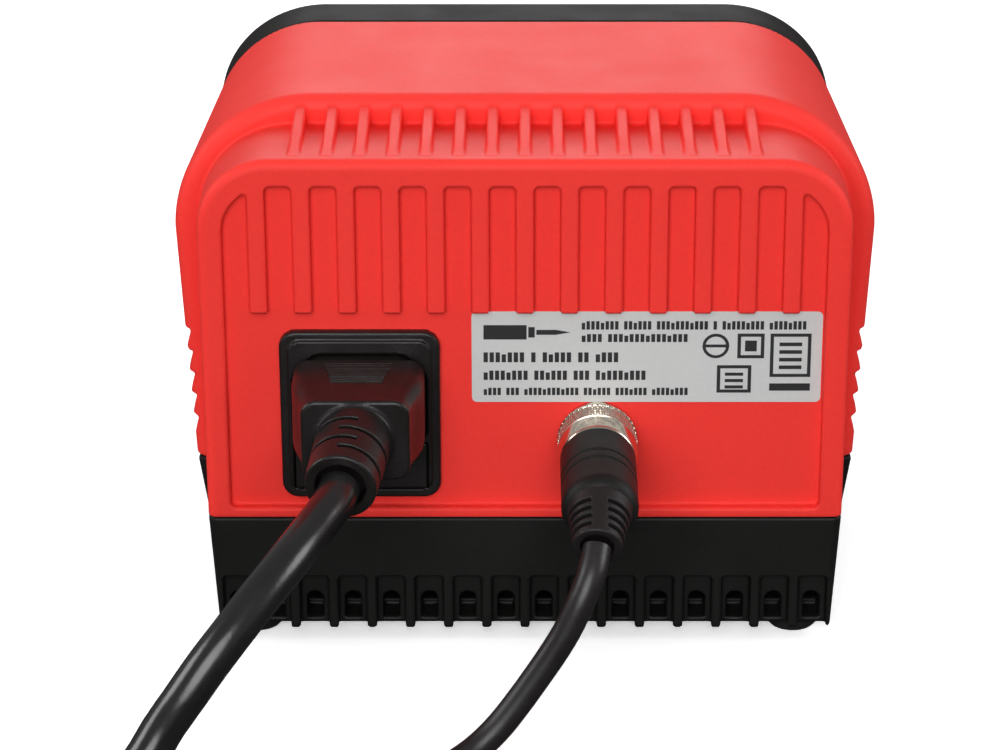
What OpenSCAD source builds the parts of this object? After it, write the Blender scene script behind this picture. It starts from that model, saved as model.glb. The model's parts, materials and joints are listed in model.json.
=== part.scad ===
// Bench soldering station: a plastic case on rubber feet, its mains lead and its soldering iron.
// The front faces -Y, the back with both sockets faces +Y, and the feet stand on Z = 0.
// X = 0, Y = 0 is the middle of the case's footprint.

/* [Case] */
// Depth of the case from the back frame to the foot of the front rim
case_depth = 100; // [98:1:102]
// Height of the case above the table
case_height = 100.5; // [99.5:0.5:101]
// Greatest width of the case, at the back edge of its wide part
case_width = 133.6; // [132:0.2:135]
// Width of the case at its front
front_width = 123.8; // [122:0.2:125]
// Width of the narrow back part that carries the sockets
frame_width = 120.2; // [119.6:0.2:121]
// Height of the top of the narrow back part
frame_height = 97.7; // [97:0.1:98]
// Length of the narrow back part
neck_length = 27; // [26:0.5:28]
// Height of the seam between the red cover and the black base
seam_height = 25.9; // [25:0.1:27]
// Height of the base's underside above the table
underside_height = 2.3; // [2:0.1:2.5]
// Thickness of the moulded walls
wall = 2.4; // [2:0.1:2.6]

/* [Ribs and vents] */
// Number of upright ribs in the back recess
back_rib_count = 13; // [9:2:13]
// Distance between neighbouring back ribs
back_rib_pitch = 8.18; // [8:0.01:8.2]
// Width of a back rib
back_rib_width = 3.24; // [2.8:0.02:3.6]
// Number of ribs across the step on top
top_rib_count = 15; // [9:2:15]
// Distance between neighbouring top ribs
top_rib_pitch = 6.02; // [5.8:0.01:6.1]
// Width of a top rib
top_rib_width = 2.1; // [1.6:0.1:2.6]
// Distance between neighbouring ribs of the base
base_rib_pitch = 7.31; // [7.2:0.01:7.32]
// Width of a rib of the base
base_rib_width = 1.87; // [1.6:0.01:2.2]
// Number of grip grooves on each side
grip_count = 5; // [3:1:5]
// Height of one grip groove
grip_pitch = 4.6; // [4.2:0.1:4.8]

/* [Back panel] */
// Distance of the mains inlet from the middle
inlet_x = 30.7; // [30:0.1:31]
// Height of the middle of the mains inlet
inlet_z = 47.1; // [46.9:0.1:47.3]
// Distance of the iron socket from the middle
socket_x = -13.5; // [-14:0.1:-13]
// Height of the iron socket
socket_z = 42.1; // [41.8:0.1:42.4]
// Width of the rating plate
plate_width = 65; // [60:1:65]
// Height of the rating plate
plate_height = 18.3; // [16:0.1:18.4]

/* [Front panel] */
// Width of the display's opening
display_width = 62; // [56:1:64]
// Height of the display's opening
display_height = 30; // [26:1:32]
// Distance between neighbouring buttons
button_pitch = 21; // [19:1:22]
// Travel of a button
button_travel = 0.6; // [0.4:0.1:0.6]
// Tilt of the power rocker to each side of its middle
rocker_tilt = 10; // [8:1:10]

/* [Leads] */
// Diameter of the mains lead
mains_d = 7.4; // [7.2:0.1:7.4]
// Diameter of the iron's lead
iron_lead_d = 5.2; // [5:0.1:5.2]

/* [Hidden] */
$fn = 48;

// Planes across the case, from back to front
back_y = case_depth / 2;
neck_y = back_y - neck_length;
rim_y = back_y - 72;
rim_top_y = back_y - 85;
rim_foot_y = back_y - case_depth;
// The back recess: its depth, its side and bottom borders and the foot of its ribs
recess_depth = 2;
recess_border = 4.6;
recess_floor_z = 27.9;
recess_top_z = frame_height - 5.1;
back_rib_foot_z = 67.7;
recess_y = back_y - recess_depth;
// Depth of the pockets between the ribs of the base, and the height of their tops
pocket_depth = 2.5;
pocket_top_z = 13.4;
vent_width = 3.05;
vent_top_z = 9;
vent_foot_z = underside_height + 1.2;
base_rib_count = 17;
// The base reaches forward as a tongue under the rim
rim_foot_z = underside_height + wall + 0.2;
tongue_y = rim_foot_y + 6;
tongue_width = 104;
// The front panel leans back: angle of the slope and its length
slant = atan((rim_top_y - rim_foot_y) / (case_height - rim_foot_z));
slope_length = (case_height - rim_foot_z) / cos(slant);
rim_border = 5;
panel_recess = 2.4;
panel_thickness = 2.4;
panel_play = 0.2;
// Heights along the slope of the things on the front panel
display_v = 66;
button_v = 35;
rocker_x = 38;
rocker_v = 20;
rocker_length = 19;
rocker_width = 13;
// Clearance round a moving cap
cap_play = 0.3;
// Overlap used when one solid is cut from or joined to another
eps = 0.05;
// Play between pieces that are set into each other
slack = 0.1;

// Points along an arc in the plane, from angle a0 to a1
function arc(x, z, r, a0, a1, steps) =
    [for (i = [0:steps]) let (a = a0 + (a1 - a0) * i / steps) [x + r * cos(a), z + r * sin(a)]];

// Closed outline of a case section: upright, symmetrical, with round corners.
// w0 and w1 are the widths at the bottom and the top, r0 and r1 the corner radii there.
function section(w0, w1, z0, z1, r0, r1) = concat(
    arc(w1 / 2 - r1, z1 - r1, r1, 0, 90, 12),
    arc(r1 - w1 / 2, z1 - r1, r1, 90, 180, 12),
    arc(r0 - w0 / 2, z0 + r0, r0, 180, 270, 6),
    arc(w0 / 2 - r0, z0 + r0, r0, 270, 360, 6)
);

// The outline of a section given as a list, and the list of a section moved inwards
function outline(s) = section(s[0], s[1], s[2], s[3], s[4], s[5]);
function shrunk(s, inset) = [
    s[0] - 2 * inset, s[1] - 2 * inset, s[2] + inset, s[3] - inset,
    max(s[4] - inset, 0.3), max(s[5] - inset, 0.3)
];

// The hollow inside a section: open below for the cover, open above for the base
function hollow_cover(s) = shrunk(s, wall) + [0, 0, -2 * wall, 0, 0, 0];
function hollow_base(s) = shrunk(s, wall) + [0, 0, 0, 2 * wall, 0, 0];

// A thin upright slab whose back face is at y
module slab(y, s, thickness = 0.02) {
    translate([0, y, 0])
        rotate([90, 0, 0])
            linear_extrude(thickness)
                polygon(outline(s));
}

// Inset and depth of the steps that round an edge of radius r
function edge_step(r, turn) = [r * (1 - cos(turn)), r * (1 - sin(turn))];

// A block from y0 to y1 between two sections, whose back edge is rounded to radius r
module section_block(y0, front, y1, back, r) {
    hull() {
        slab(y0 + 0.02, front);
        for (turn = [0, 30, 60, 90])
            let (e = edge_step(r, turn))
                translate([0, y1 - e[1], 0])
                    rotate([90, 0, 0])
                        linear_extrude(0.02)
                            polygon(outline(shrunk(back, e[0])));
    }
}

// A plain block between two sections, used to hollow the case
module cavity_block(y0, front, y1, back) {
    hull() {
        slab(y0 + 0.02, front);
        slab(y1, back);
    }
}

// Sections of the case: [bottom width, top width, bottom, top, bottom radius, top radius]
cover_back = [128.6, case_width, seam_height, case_height, 0.3, 27];
cover_front = [119.4, front_width, seam_height, case_height, 0.3, 21.5];
neck_front = [122.6, 124, seam_height, 94.4, 0.3, 18.5];
neck_back = [frame_width - 0.4, frame_width, seam_height, frame_height, 0.3, 13.7];
base_back = [frame_width - 3.4, frame_width - 0.6, underside_height, seam_height, 1, 0.3];
base_neck = [119, 122.4, underside_height, seam_height, 1, 0.3];
base_wide = [121, 128.2, underside_height, seam_height, 1, 0.3];
base_front = [115, 119.2, underside_height, seam_height, 1, 0.3];
rim_section = [119.2, front_width, rim_foot_z, case_height, 9, 22];

// Places things on the sloping front: X across, -Y out of the front, Z up the slope
module on_front() {
    translate([0, rim_foot_y, rim_foot_z])
        rotate([-slant, 0, 0])
            children();
}

// A plate standing upright with round corners: size [width, depth, height], corner radius r
module round_plate(size, r) {
    translate([0, size[1] / 2, 0])
        rotate([90, 0, 0])
            linear_extrude(size[1])
                polygon(section(size[0], size[0], -size[2] / 2, size[2] / 2, r, r));
}

// A cylinder along +Y that starts at y = 0
module rod_y(r, length, r2 = -1) {
    rotate([-90, 0, 0])
        cylinder(h = length, r1 = r, r2 = r2 < 0 ? r : r2);
}

// A cylinder along +X that starts at x = 0
module rod_x(r, length, r2 = -1) {
    rotate([0, 90, 0])
        cylinder(h = length, r1 = r, r2 = r2 < 0 ? r : r2);
}

// ---------------------------------------------------------------- case

// Places of the four case screws and of the bosses that take them
screw_places = [[-50, 14], [50, 14], [-48, -15], [48, -15]];
screw_shaft_r = 1.5;
boss_r = 3.6;
boss_split_z = 14;
boss_top_z = 95.5;

// Side face of the wide part, from its front to its back
side_run = neck_y - 4 - rim_y;
side_rise = (case_width - front_width) / 2;
side_angle = atan(side_rise / side_run);

// One grip groove: a wedge whose flat top bites into the side
module grip_groove(level) {
    bite = 1.25;
    drop = (cover_back[1] - cover_back[0]) / 2 / (case_height - cover_back[5] - seam_height);
    side = case_width / 2 - drop * (case_height - cover_back[5] - level);
    translate([side, neck_y - 4, level])
        rotate([0, 0, -side_angle])
            translate([0, 6, 0])
                rotate([90, 0, 0])
                    linear_extrude(38)
                        polygon([
                            [-bite, 0],
                            [3, 0],
                            [3, -grip_pitch + 0.4],
                            [0.1 - drop * grip_pitch, -grip_pitch + 0.4]
                        ]);
}

module red_cover() {
    grip_top_z = 52.8;
    inlet_cut = [27.4, 30.8];
    socket_hole_r = 6.1;
    color([0.86, 0.16, 0.13])
    union() {
        difference() {
            union() {
                section_block(rim_y, cover_front, neck_y, cover_back, 4);
                section_block(neck_y - 6, neck_front, back_y, neck_back, 1.8);
            }
            cavity_block(rim_y - 1, hollow_cover(cover_front), neck_y - wall, hollow_cover(cover_back));
            cavity_block(neck_y - 8, hollow_cover(neck_front), recess_y - wall, hollow_cover(neck_back));
            translate([0, back_y + 1, 0])
                rotate([90, 0, 0])
                    linear_extrude(recess_depth + 1)
                        polygon(section(frame_width - 2 * recess_border, frame_width - 2 * recess_border,
                            recess_floor_z, recess_top_z, 1, 9));
            translate([inlet_x - inlet_cut[0] / 2, recess_y - wall - 1, inlet_z - inlet_cut[1] / 2])
                cube([inlet_cut[0], wall + 2, inlet_cut[1]]);
            translate([socket_x, recess_y - wall - 1, socket_z])
                rod_y(socket_hole_r, wall + 2);
            for (side = [0, 1])
                mirror([side, 0, 0])
                    for (i = [0:grip_count - 1])
                        grip_groove(grip_top_z - i * grip_pitch);
        }
        for (i = [0:back_rib_count - 1])
            translate([(i - (back_rib_count - 1) / 2) * back_rib_pitch - back_rib_width / 2,
                recess_y - eps, back_rib_foot_z])
                cube([back_rib_width, recess_depth + eps, recess_top_z - back_rib_foot_z + 0.5]);
        for (i = [0:top_rib_count - 1])
            translate([(i - (top_rib_count - 1) / 2) * top_rib_pitch - top_rib_width / 2, 0, 0])
                rotate([90, 0, 90])
                    linear_extrude(top_rib_width)
                        polygon([
                            [neck_y - 1, 93.4],
                            [neck_y - 1, 98.7],
                            [back_y - 3, 97.6],
                            [back_y - 3, 96.2]
                        ]);
        for (p = screw_places)
            difference() {
                translate([p[0], p[1], boss_split_z])
                    cylinder(r = boss_r, h = boss_top_z - boss_split_z);
                translate([p[0], p[1], boss_split_z - 1])
                    cylinder(r = screw_shaft_r, h = 12);
            }
    }
}

module base_tray() {
    pocket_gap = base_rib_pitch - base_rib_width;
    floor_top = underside_height + wall;
    color([0.10, 0.10, 0.11])
    union() {
        difference() {
            union() {
                cavity_block(rim_y, base_front, neck_y, base_wide);
                cavity_block(neck_y - 6, base_neck, back_y, base_back);
                translate([-tongue_width / 2, tongue_y, underside_height])
                    cube([tongue_width, rim_y - tongue_y + 1, wall]);
            }
            cavity_block(rim_y + wall, hollow_base(base_front), neck_y - wall, hollow_base(base_wide));
            cavity_block(neck_y - 8, hollow_base(base_neck),
                back_y - pocket_depth - wall, hollow_base(base_back));
            for (i = [0:base_rib_count - 2])
                translate([(i - base_rib_count / 2 + 1) * base_rib_pitch, 0, 0]) {
                    translate([-pocket_gap / 2, back_y - pocket_depth, 0])
                        cube([pocket_gap, pocket_depth + 1, pocket_top_z]);
                    translate([-vent_width / 2, back_y - pocket_depth - wall - 1, vent_foot_z])
                        cube([vent_width, wall + 2, vent_top_z - vent_width / 2 - vent_foot_z]);
                    translate([0, back_y - pocket_depth - wall - 1, vent_top_z - vent_width / 2])
                        rod_y(vent_width / 2, wall + 2);
                }
            for (p = screw_places) {
                translate([p[0], p[1], underside_height - 1])
                    cylinder(r = 3.1, h = 4);
                translate([p[0], p[1], 0])
                    cylinder(r = screw_shaft_r + 0.2, h = 30);
            }
        }
        for (p = screw_places)
            difference() {
                translate([p[0], p[1], underside_height])
                    cylinder(r = boss_r + 1, h = boss_split_z - 0.1 - underside_height);
                translate([p[0], p[1], underside_height - 1])
                    cylinder(r = 3.1, h = 4);
                translate([p[0], p[1], underside_height])
                    cylinder(r = screw_shaft_r + 0.2, h = 20);
            }
        for (p = board_holes)
            translate([p[0], p[1], floor_top - eps])
                difference() {
                    cylinder(r = 2.8, h = board_z - floor_top + eps);
                    translate([0, 0, 1])
                        cylinder(r = 1.1, h = 10);
                }
    }
}

module front_rim() {
    lip = 2.2;
    color([0.20, 0.20, 0.20])
    difference() {
        translate([0, rim_y, 0])
            rotate([90, 0, 0])
                linear_extrude(rim_y - rim_foot_y + 2)
                    polygon(outline(rim_section));
        on_front()
            translate([-100, -20, -20])
                cube([200, 20, 160]);
        on_front()
            rotate([90, 0, 0])
                translate([0, 0, -panel_recess - panel_thickness])
                    linear_extrude(panel_recess + panel_thickness + 10)
                        polygon(section(front_width - 2 * rim_border - 4, front_width - 2 * rim_border,
                            rim_border, slope_length - rim_border, 6, 17));
        translate([0, rim_y + 1, 0])
            rotate([90, 0, 0])
                linear_extrude(60)
                    polygon(outline(shrunk(rim_section, rim_border + lip)));
    }
}

module front_panel() {
    color([0.10, 0.10, 0.11])
    on_front()
        difference() {
            translate([0, panel_recess + panel_thickness, 0])
                rotate([90, 0, 0])
                    linear_extrude(panel_thickness)
                        polygon(section(front_width - 2 * rim_border - 4 - 2 * panel_play,
                            front_width - 2 * rim_border - 2 * panel_play,
                            rim_border + panel_play, slope_length - rim_border - panel_play, 6, 17));
            translate([0, panel_recess + panel_thickness / 2, display_v])
                round_plate([display_width, panel_thickness + 1, display_height], 2);
            for (i = [-1:1])
                translate([i * button_pitch, panel_recess + panel_thickness / 2, button_v])
                    round_plate([button_w + 2 * cap_play, panel_thickness + 1, button_h + 2 * cap_play], 3);
            translate([rocker_x, panel_recess + panel_thickness / 2, rocker_v])
                round_plate([rocker_width + 0.6, panel_thickness + 1, rocker_length + 0.6], 0.5);
        }
}

module display_window() {
    color([0.30, 0.36, 0.38, 0.6])
    on_front()
        translate([0, panel_recess + panel_thickness / 2, display_v])
            round_plate([display_width - 2 * slack, panel_thickness - 0.6, display_height - 2 * slack], 2);
}

module display_module() {
    color([0.16, 0.40, 0.28])
    on_front()
        translate([0, panel_recess + panel_thickness, display_v]) {
            translate([-display_width / 2 + 2, 0.3, -display_height / 2 + 2])
                cube([display_width - 4, 4.2, display_height - 4]);
            translate([-display_width / 2 - 3, 4.5, -display_height / 2 - 3])
                cube([display_width + 6, 1.6, display_height + 6]);
        }
}

// ---------------------------------------------------------------- front controls

button_w = 13;
button_h = 8.4;
// How far a button's face stands out of the panel, and its flange behind the panel
button_proud = 1.6;
flange_thickness = 1;

// One push button, drawn at rest: a cap through the panel and a flange behind it
module button_at(x) {
    on_front()
        translate([x, 0, button_v]) {
            translate([0, panel_recess + (panel_thickness + slack - button_proud) / 2, 0])
                round_plate([button_w, panel_thickness + slack + button_proud + eps, button_h], 2.6);
            translate([0, panel_recess + panel_thickness + slack + flange_thickness / 2, 0])
                round_plate([button_w + 2.4, flange_thickness, button_h + 2.4], 3);
            translate([0, panel_recess + panel_thickness + slack + flange_thickness - eps, 0])
                rod_y(1.6, 1.2);
        }
}

module button_down() {
    color([0.62, 0.64, 0.66])
        button_at(-button_pitch);
}

module button_set() {
    color([0.80, 0.15, 0.12])
        button_at(0);
}

module button_up() {
    color([0.62, 0.64, 0.66])
        button_at(button_pitch);
}

// Distance of the control board behind the front plane
control_depth = panel_recess + panel_thickness + 9;

module control_board() {
    color([0.08, 0.36, 0.18])
    on_front()
        translate([-42, control_depth, button_v - 4.6])
            cube([84, 1.6, 13]);
}

module button_switches() {
    gap = slack + flange_thickness + 1.2 + button_travel + 0.1;
    body_front = panel_recess + panel_thickness + gap + 0.8;
    color([0.15, 0.15, 0.16])
    on_front()
        for (i = [-1:1])
            translate([i * button_pitch, 0, button_v]) {
                translate([-3, body_front, -3])
                    cube([6, control_depth - body_front, 6]);
                translate([0, body_front - 0.8, 0])
                    rod_y(1.7, 0.9);
            }
}

// The rocker turns about an axis across its housing, just behind the panel's face
rocker_pivot_depth = panel_recess + 3.4;
rocker_pin_r = 1.2;

module power_rocker() {
    color([0.80, 0.10, 0.09])
    on_front()
        translate([rocker_x, rocker_pivot_depth, rocker_v])
            rotate([rocker_tilt, 0, 0]) {
                rotate([90, 0, 90])
                    translate([0, 0, -(rocker_width - 2.6) / 2])
                        linear_extrude(rocker_width - 2.6)
                            polygon([
                                [2.2, -3], [2.2, 3], [-2.4, 7.4], [-5.6, 7.4], [-4.6, 4],
                                [-4.2, 0], [-4.6, -4], [-5.6, -7.4], [-2.4, -7.4]
                            ]);
                translate([-(rocker_width - 2.6) / 2 - 1.1, 0, 0])
                    rod_x(rocker_pin_r, rocker_width - 2.6 + 2.2);
            }
}

module rocker_housing() {
    flange = [rocker_width + 2.4, 1.2, rocker_length + 2.4];
    body_depth = 14;
    inner = [rocker_width - 2, rocker_length - 1.8];
    color([0.12, 0.12, 0.13])
    on_front()
        translate([rocker_x, panel_recess, rocker_v])
            difference() {
                union() {
                    translate([0, -flange[1] / 2, 0])
                        round_plate(flange, 1);
                    translate([-rocker_width / 2, -eps, -rocker_length / 2])
                        cube([rocker_width, body_depth, rocker_length]);
                }
                translate([-inner[0] / 2, -3, -inner[1] / 2])
                    cube([inner[0], 10.4, inner[1]]);
                translate([-rocker_width / 2 - 1, rocker_pivot_depth - panel_recess, 0])
                    rod_x(rocker_pin_r + 0.05, rocker_width + 2);
            }
}

// ---------------------------------------------------------------- electronics

board_z = 9;
board_size = [84, 44, 1.6];
board_corner = [-42, -18.6];
board_holes = [for (x = [-38, 38]) for (y = [-14.6, 21.4]) [x, y]];
board_top = board_z + board_size[2];

module power_board() {
    color([0.10, 0.38, 0.20])
    difference() {
        translate([board_corner[0], board_corner[1], board_z])
            cube(board_size);
        for (p = board_holes)
            translate([p[0], p[1], board_z - 1])
                cylinder(r = 1.4, h = 4);
    }
}

module board_screws() {
    color([0.72, 0.72, 0.70])
    for (p = board_holes)
        translate([p[0], p[1], 0]) {
            translate([0, 0, board_top])
                cylinder(r = 2.3, h = 1.6);
            translate([0, 0, board_z - 3])
                cylinder(r = 1.05, h = 3 + board_size[2] + eps);
        }
}

module transformer() {
    color([0.80, 0.68, 0.22])
    union() {
        translate([-8, -12, board_top + 3])
            cube([22, 26, 14]);
        translate([-5, -10, board_top])
            cube([16, 22, 21]);
    }
}

module bulk_capacitor() {
    color([0.10, 0.12, 0.30])
    translate([30, 3, board_top])
        cylinder(r = 8, h = 25);
}

module output_capacitors() {
    color([0.10, 0.12, 0.30])
    for (y = [-8, 4])
        translate([-20, y, board_top])
            cylinder(r = 5, h = 20);
}

module line_choke() {
    color([0.55, 0.30, 0.12])
    translate([30, -14, board_top + 7.8])
        rotate([90, 0, 0])
            rotate_extrude()
                translate([5.2, 0])
                    circle(r = 2.6);
}

module heat_sink() {
    color([0.72, 0.73, 0.75])
    translate([-33, -10, board_top]) {
        cube([3, 26, 26]);
        for (i = [0:4])
            translate([-4, i * 5.8, 0])
                cube([4.05, 1.6, 26]);
    }
}

// ---------------------------------------------------------------- fasteners, feet and plate

module case_screws() {
    color([0.70, 0.70, 0.68])
    for (p = screw_places)
        translate([p[0], p[1], 0])
            difference() {
                union() {
                    translate([0, 0, underside_height + 0.6])
                        cylinder(r = 2.8, h = 2.4);
                    translate([0, 0, underside_height + 2.9])
                        cylinder(r = 1.45, h = 17);
                }
                for (a = [0, 90])
                    rotate([0, 0, a])
                        translate([-2, -0.3, underside_height + 0.5])
                            cube([4, 0.6, 1.2]);
            }
}

foot_places = [[-51.6, 42], [51.6, 42], [-46, -36], [46, -36]];
foot_r = 4.85;

module rubber_feet() {
    color([0.08, 0.08, 0.08])
    for (p = foot_places)
        translate([p[0], p[1], 0]) {
            cylinder(r1 = foot_r - 0.5, r2 = foot_r, h = 0.6);
            translate([0, 0, 0.6 - eps])
                cylinder(r = foot_r, h = underside_height - 0.6 + eps);
        }
}

module rating_plate() {
    centre_x = -22.6;
    bottom_z = 49.2;
    color([0.80, 0.81, 0.80])
    translate([centre_x, recess_y + 0.1, bottom_z + plate_height / 2])
        round_plate([plate_width, 0.2, plate_height], 1);
}

// ---------------------------------------------------------------- mains inlet

flange_size = [29.8, 2.4, 33.8];
block_size = [27, 30.4];
inlet_depth = 26;
opening_size = [24.9, 17.1];
opening_z = 51.2;
drawer_size = [24.7, 9.2];
drawer_z = 36.9;
cavity_floor_y = recess_y - 14;

module inlet_body() {
    color([0.09, 0.09, 0.10])
    difference() {
        union() {
            translate([inlet_x, recess_y + flange_size[1] / 2, inlet_z])
                round_plate(flange_size, 3.2);
            translate([inlet_x - block_size[0] / 2, recess_y - inlet_depth, inlet_z - block_size[1] / 2])
                cube([block_size[0], inlet_depth + eps, block_size[1]]);
        }
        translate([inlet_x, cavity_floor_y + 10, opening_z])
            round_plate([opening_size[0], 20, opening_size[1]], 3);
        translate([inlet_x - drawer_size[0] / 2 - slack, recess_y - 21,
            drawer_z - drawer_size[1] / 2 - slack])
            cube([drawer_size[0] + 2 * slack, 30, drawer_size[1] + 2 * slack]);
        for (p = blade_places)
            translate([inlet_x + p[0] - blade[0] / 2, recess_y - inlet_depth - 1,
                opening_z + p[1] - blade[2] / 2])
                cube([blade[0], inlet_depth, blade[2]]);
    }
}

blade = [2, 0, 4];
blade_places = [[-7, -1.9], [7, -1.9], [0, 2.1]];
blade_tip_y = recess_y - 1;

module inlet_blades() {
    color([0.80, 0.80, 0.78])
    for (p = blade_places)
        translate([inlet_x + p[0] - blade[0] / 2, recess_y - inlet_depth - 6,
            opening_z + p[1] - blade[2] / 2])
            cube([blade[0], blade_tip_y - recess_y + inlet_depth + 6, blade[2]]);
}

module fuse_drawer() {
    front_y = recess_y + flange_size[1];
    color([0.11, 0.11, 0.12])
    difference() {
        union() {
            translate([inlet_x - drawer_size[0] / 2, front_y - 2.4, drawer_z - drawer_size[1] / 2])
                cube([drawer_size[0], 2.4, drawer_size[1]]);
            translate([inlet_x - drawer_size[0] / 2 + 0.6, recess_y - 20.5,
                drawer_z - drawer_size[1] / 2 + 0.4])
                cube([drawer_size[0] - 1.2, front_y - 2.35 - recess_y + 20.5, drawer_size[1] - 1]);
        }
        translate([inlet_x - 10.6, recess_y - 18, drawer_z - 2.9])
            cube([21.2, 12, 10]);
    }
}

module fuse() {
    fuse_y = recess_y - 12;
    color([0.82, 0.82, 0.80])
    translate([inlet_x - 10, fuse_y, drawer_z - 0.2]) {
        rod_x(2.6, 5);
        translate([15, 0, 0])
            rod_x(2.6, 5);
        translate([4.9, 0, 0])
            rod_x(2.3, 10.2);
    }
}

// ---------------------------------------------------------------- mains connector

relief_start = [inlet_x + 0.3, back_y + 20, 51.2];
relief_end = [32.8, 85, 49.2];

module mains_connector() {
    body = [24.3, 24.3, opening_z - 8.25, opening_z + 8.25, 2.6, 3];
    rear = [19.8, 19.8, opening_z - 7.9, opening_z + 7.9, 3, 3];
    color([0.09, 0.08, 0.08])
    difference() {
        union() {
            translate([inlet_x, 0, 0]) {
                translate([0, back_y + 9, 0])
                    rotate([90, 0, 0])
                        linear_extrude(back_y + 9 - cavity_floor_y - 0.6)
                            polygon(outline(body));
                hull() {
                    slab(back_y + 9, body);
                    slab(back_y + 20, rear);
                }
            }
            hull() {
                translate(relief_start - [0, 3, 0])
                    rotate([-90, 0, 0])
                        cylinder(r = 7, h = 3, $fn = 32);
                translate(relief_end)
                    rotate([-98, 0, -7])
                        translate([0, 0, -1.5])
                            cylinder(r = 6.5, h = 1.5, $fn = 32);
            }
        }
        for (p = blade_places)
            translate([inlet_x + p[0] - blade[0] / 2 - 0.3, cavity_floor_y,
                opening_z + p[1] - blade[2] / 2 - 0.3])
                cube([blade[0] + 0.6, 18, blade[2] + 0.6]);
    }
}

module connector_contacts() {
    color([0.78, 0.62, 0.28])
    for (p = blade_places)
        translate([inlet_x + p[0] - 0.8, cavity_floor_y + 14.6, opening_z + p[1] - 1.6])
            cube([1.6, 3.4, 3.2]);
}

// ---------------------------------------------------------------- iron socket and plug

thread_r = 6;
pin_r = 0.5;
pin_circle_r = 2.6;
socket_tip_y = recess_y + 8;

module iron_socket() {
    color([0.76, 0.76, 0.74])
    translate([socket_x, 0, socket_z])
        difference() {
            union() {
                translate([0, recess_y - wall - 7, 0])
                    rod_y(thread_r, socket_tip_y - recess_y + wall + 7);
                translate([0, recess_y, 0])
                    rod_y(7.1, 1.2);
            }
            translate([0, recess_y - 2, 0])
                rod_y(4.6, 12);
            translate([0, recess_y - wall - 8, 0])
                rod_y(4.6, 4);
            for (a = [0:72:288])
                rotate([0, a, 0])
                    translate([0, recess_y - wall - 5, pin_circle_r])
                        rod_y(pin_r, 8);
        }
}

module socket_nut() {
    color([0.74, 0.74, 0.72])
    translate([socket_x, recess_y - wall - 2.6, socket_z])
        rotate([-90, 0, 0])
            difference() {
                cylinder(r = 8, h = 2.6, $fn = 6);
                translate([0, 0, -1])
                    cylinder(r = thread_r + 0.05, h = 5);
            }
}

module socket_pins() {
    color([0.85, 0.70, 0.30])
    for (a = [0:72:288])
        translate([socket_x, recess_y - wall - 9, socket_z])
            rotate([0, a, 0])
                translate([0, 0, pin_circle_r])
                    rod_y(pin_r, wall + 13);
}

ring_back_y = recess_y + 1.5;
ring_chamfer_y = ring_back_y + 5.9;
ring_end_y = ring_chamfer_y + 3.8;

module coupling_ring() {
    color([0.78, 0.77, 0.74])
    translate([socket_x, 0, socket_z])
        difference() {
            union() {
                translate([0, ring_back_y, 0])
                    rod_y(7.5, ring_chamfer_y - ring_back_y);
                translate([0, ring_chamfer_y - eps, 0])
                    rod_y(7.5, ring_end_y - ring_chamfer_y + eps, 7.05);
            }
            translate([0, ring_back_y - 1, 0])
                rod_y(thread_r + 0.06, 20);
        }
}

plug_r = 7;
plug_end_y = back_y + 30.5;
boot_end = [-12.8, 89, 39.3];

module iron_plug() {
    groove_ys = [68, 71.2];
    color([0.10, 0.09, 0.10])
    translate([socket_x, 0, socket_z])
        difference() {
            union() {
                translate([0, ring_end_y + 0.1, 0])
                    rod_y(plug_r, plug_end_y - ring_end_y - 0.1);
                translate([0, socket_tip_y + 0.3, 0])
                    rod_y(5.8, ring_end_y - socket_tip_y);
                translate([0, recess_y - 1.5, 0])
                    rod_y(4.4, socket_tip_y - recess_y + 2);
            }
            for (y = groove_ys)
                translate([0, y, 0])
                    difference() {
                        rod_y(plug_r + 1, 0.7);
                        translate([0, -1, 0])
                            rod_y(plug_r - 0.4, 3);
                    }
            for (a = [0:72:288])
                rotate([0, a, 0])
                    translate([0, recess_y - 3, pin_circle_r])
                        rod_y(pin_r + 0.15, 11);
        }
}

module iron_plug_boot() {
    color([0.07, 0.07, 0.08])
    hull() {
        translate([socket_x, plug_end_y, socket_z])
            rod_y(6.3, 1);
        translate(boot_end)
            rotate([-106, 0, -4])
                translate([0, 0, -1.5])
                    cylinder(r = 4.25, h = 1.5, $fn = 32);
    }
}

// ---------------------------------------------------------------- swept cords

// Unit vector and the frame that a ring of the tube lies in
function unit(v) = v / norm(v);
function heading(path, i) =
    unit(path[min(i + 1, len(path) - 1)] - path[max(i - 1, 0)]);
function across(t) = unit(cross(t, [0, 0, 1] + [0.01, 0, 0]));

// One ring of the tube, square to the cord
function ring(path, i, r, sides) =
    let (t = heading(path, i), u = across(t), v = cross(t, u))
        [for (k = [0:sides - 1]) path[i] + r * (u * cos(360 * k / sides) + v * sin(360 * k / sides))];

// A closed tube of radius r along the path
module tube(path, r, sides = 10) {
    last = len(path) - 1;
    points = [for (i = [0:last]) for (p = ring(path, i, r, sides)) p];
    walls = [
        for (i = [0:last - 1]) for (k = [0:sides - 1])
            let (a = i * sides + k, b = i * sides + (k + 1) % sides)
                for (f = [[a, b, b + sides], [a, b + sides, a + sides]]) f
    ];
    start_cap = [for (k = [sides - 1:-1:0]) k];
    end_cap = [for (k = [0:sides - 1]) last * sides + k];
    polyhedron(points = points, faces = concat(walls, [start_cap, end_cap]));
}

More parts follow.
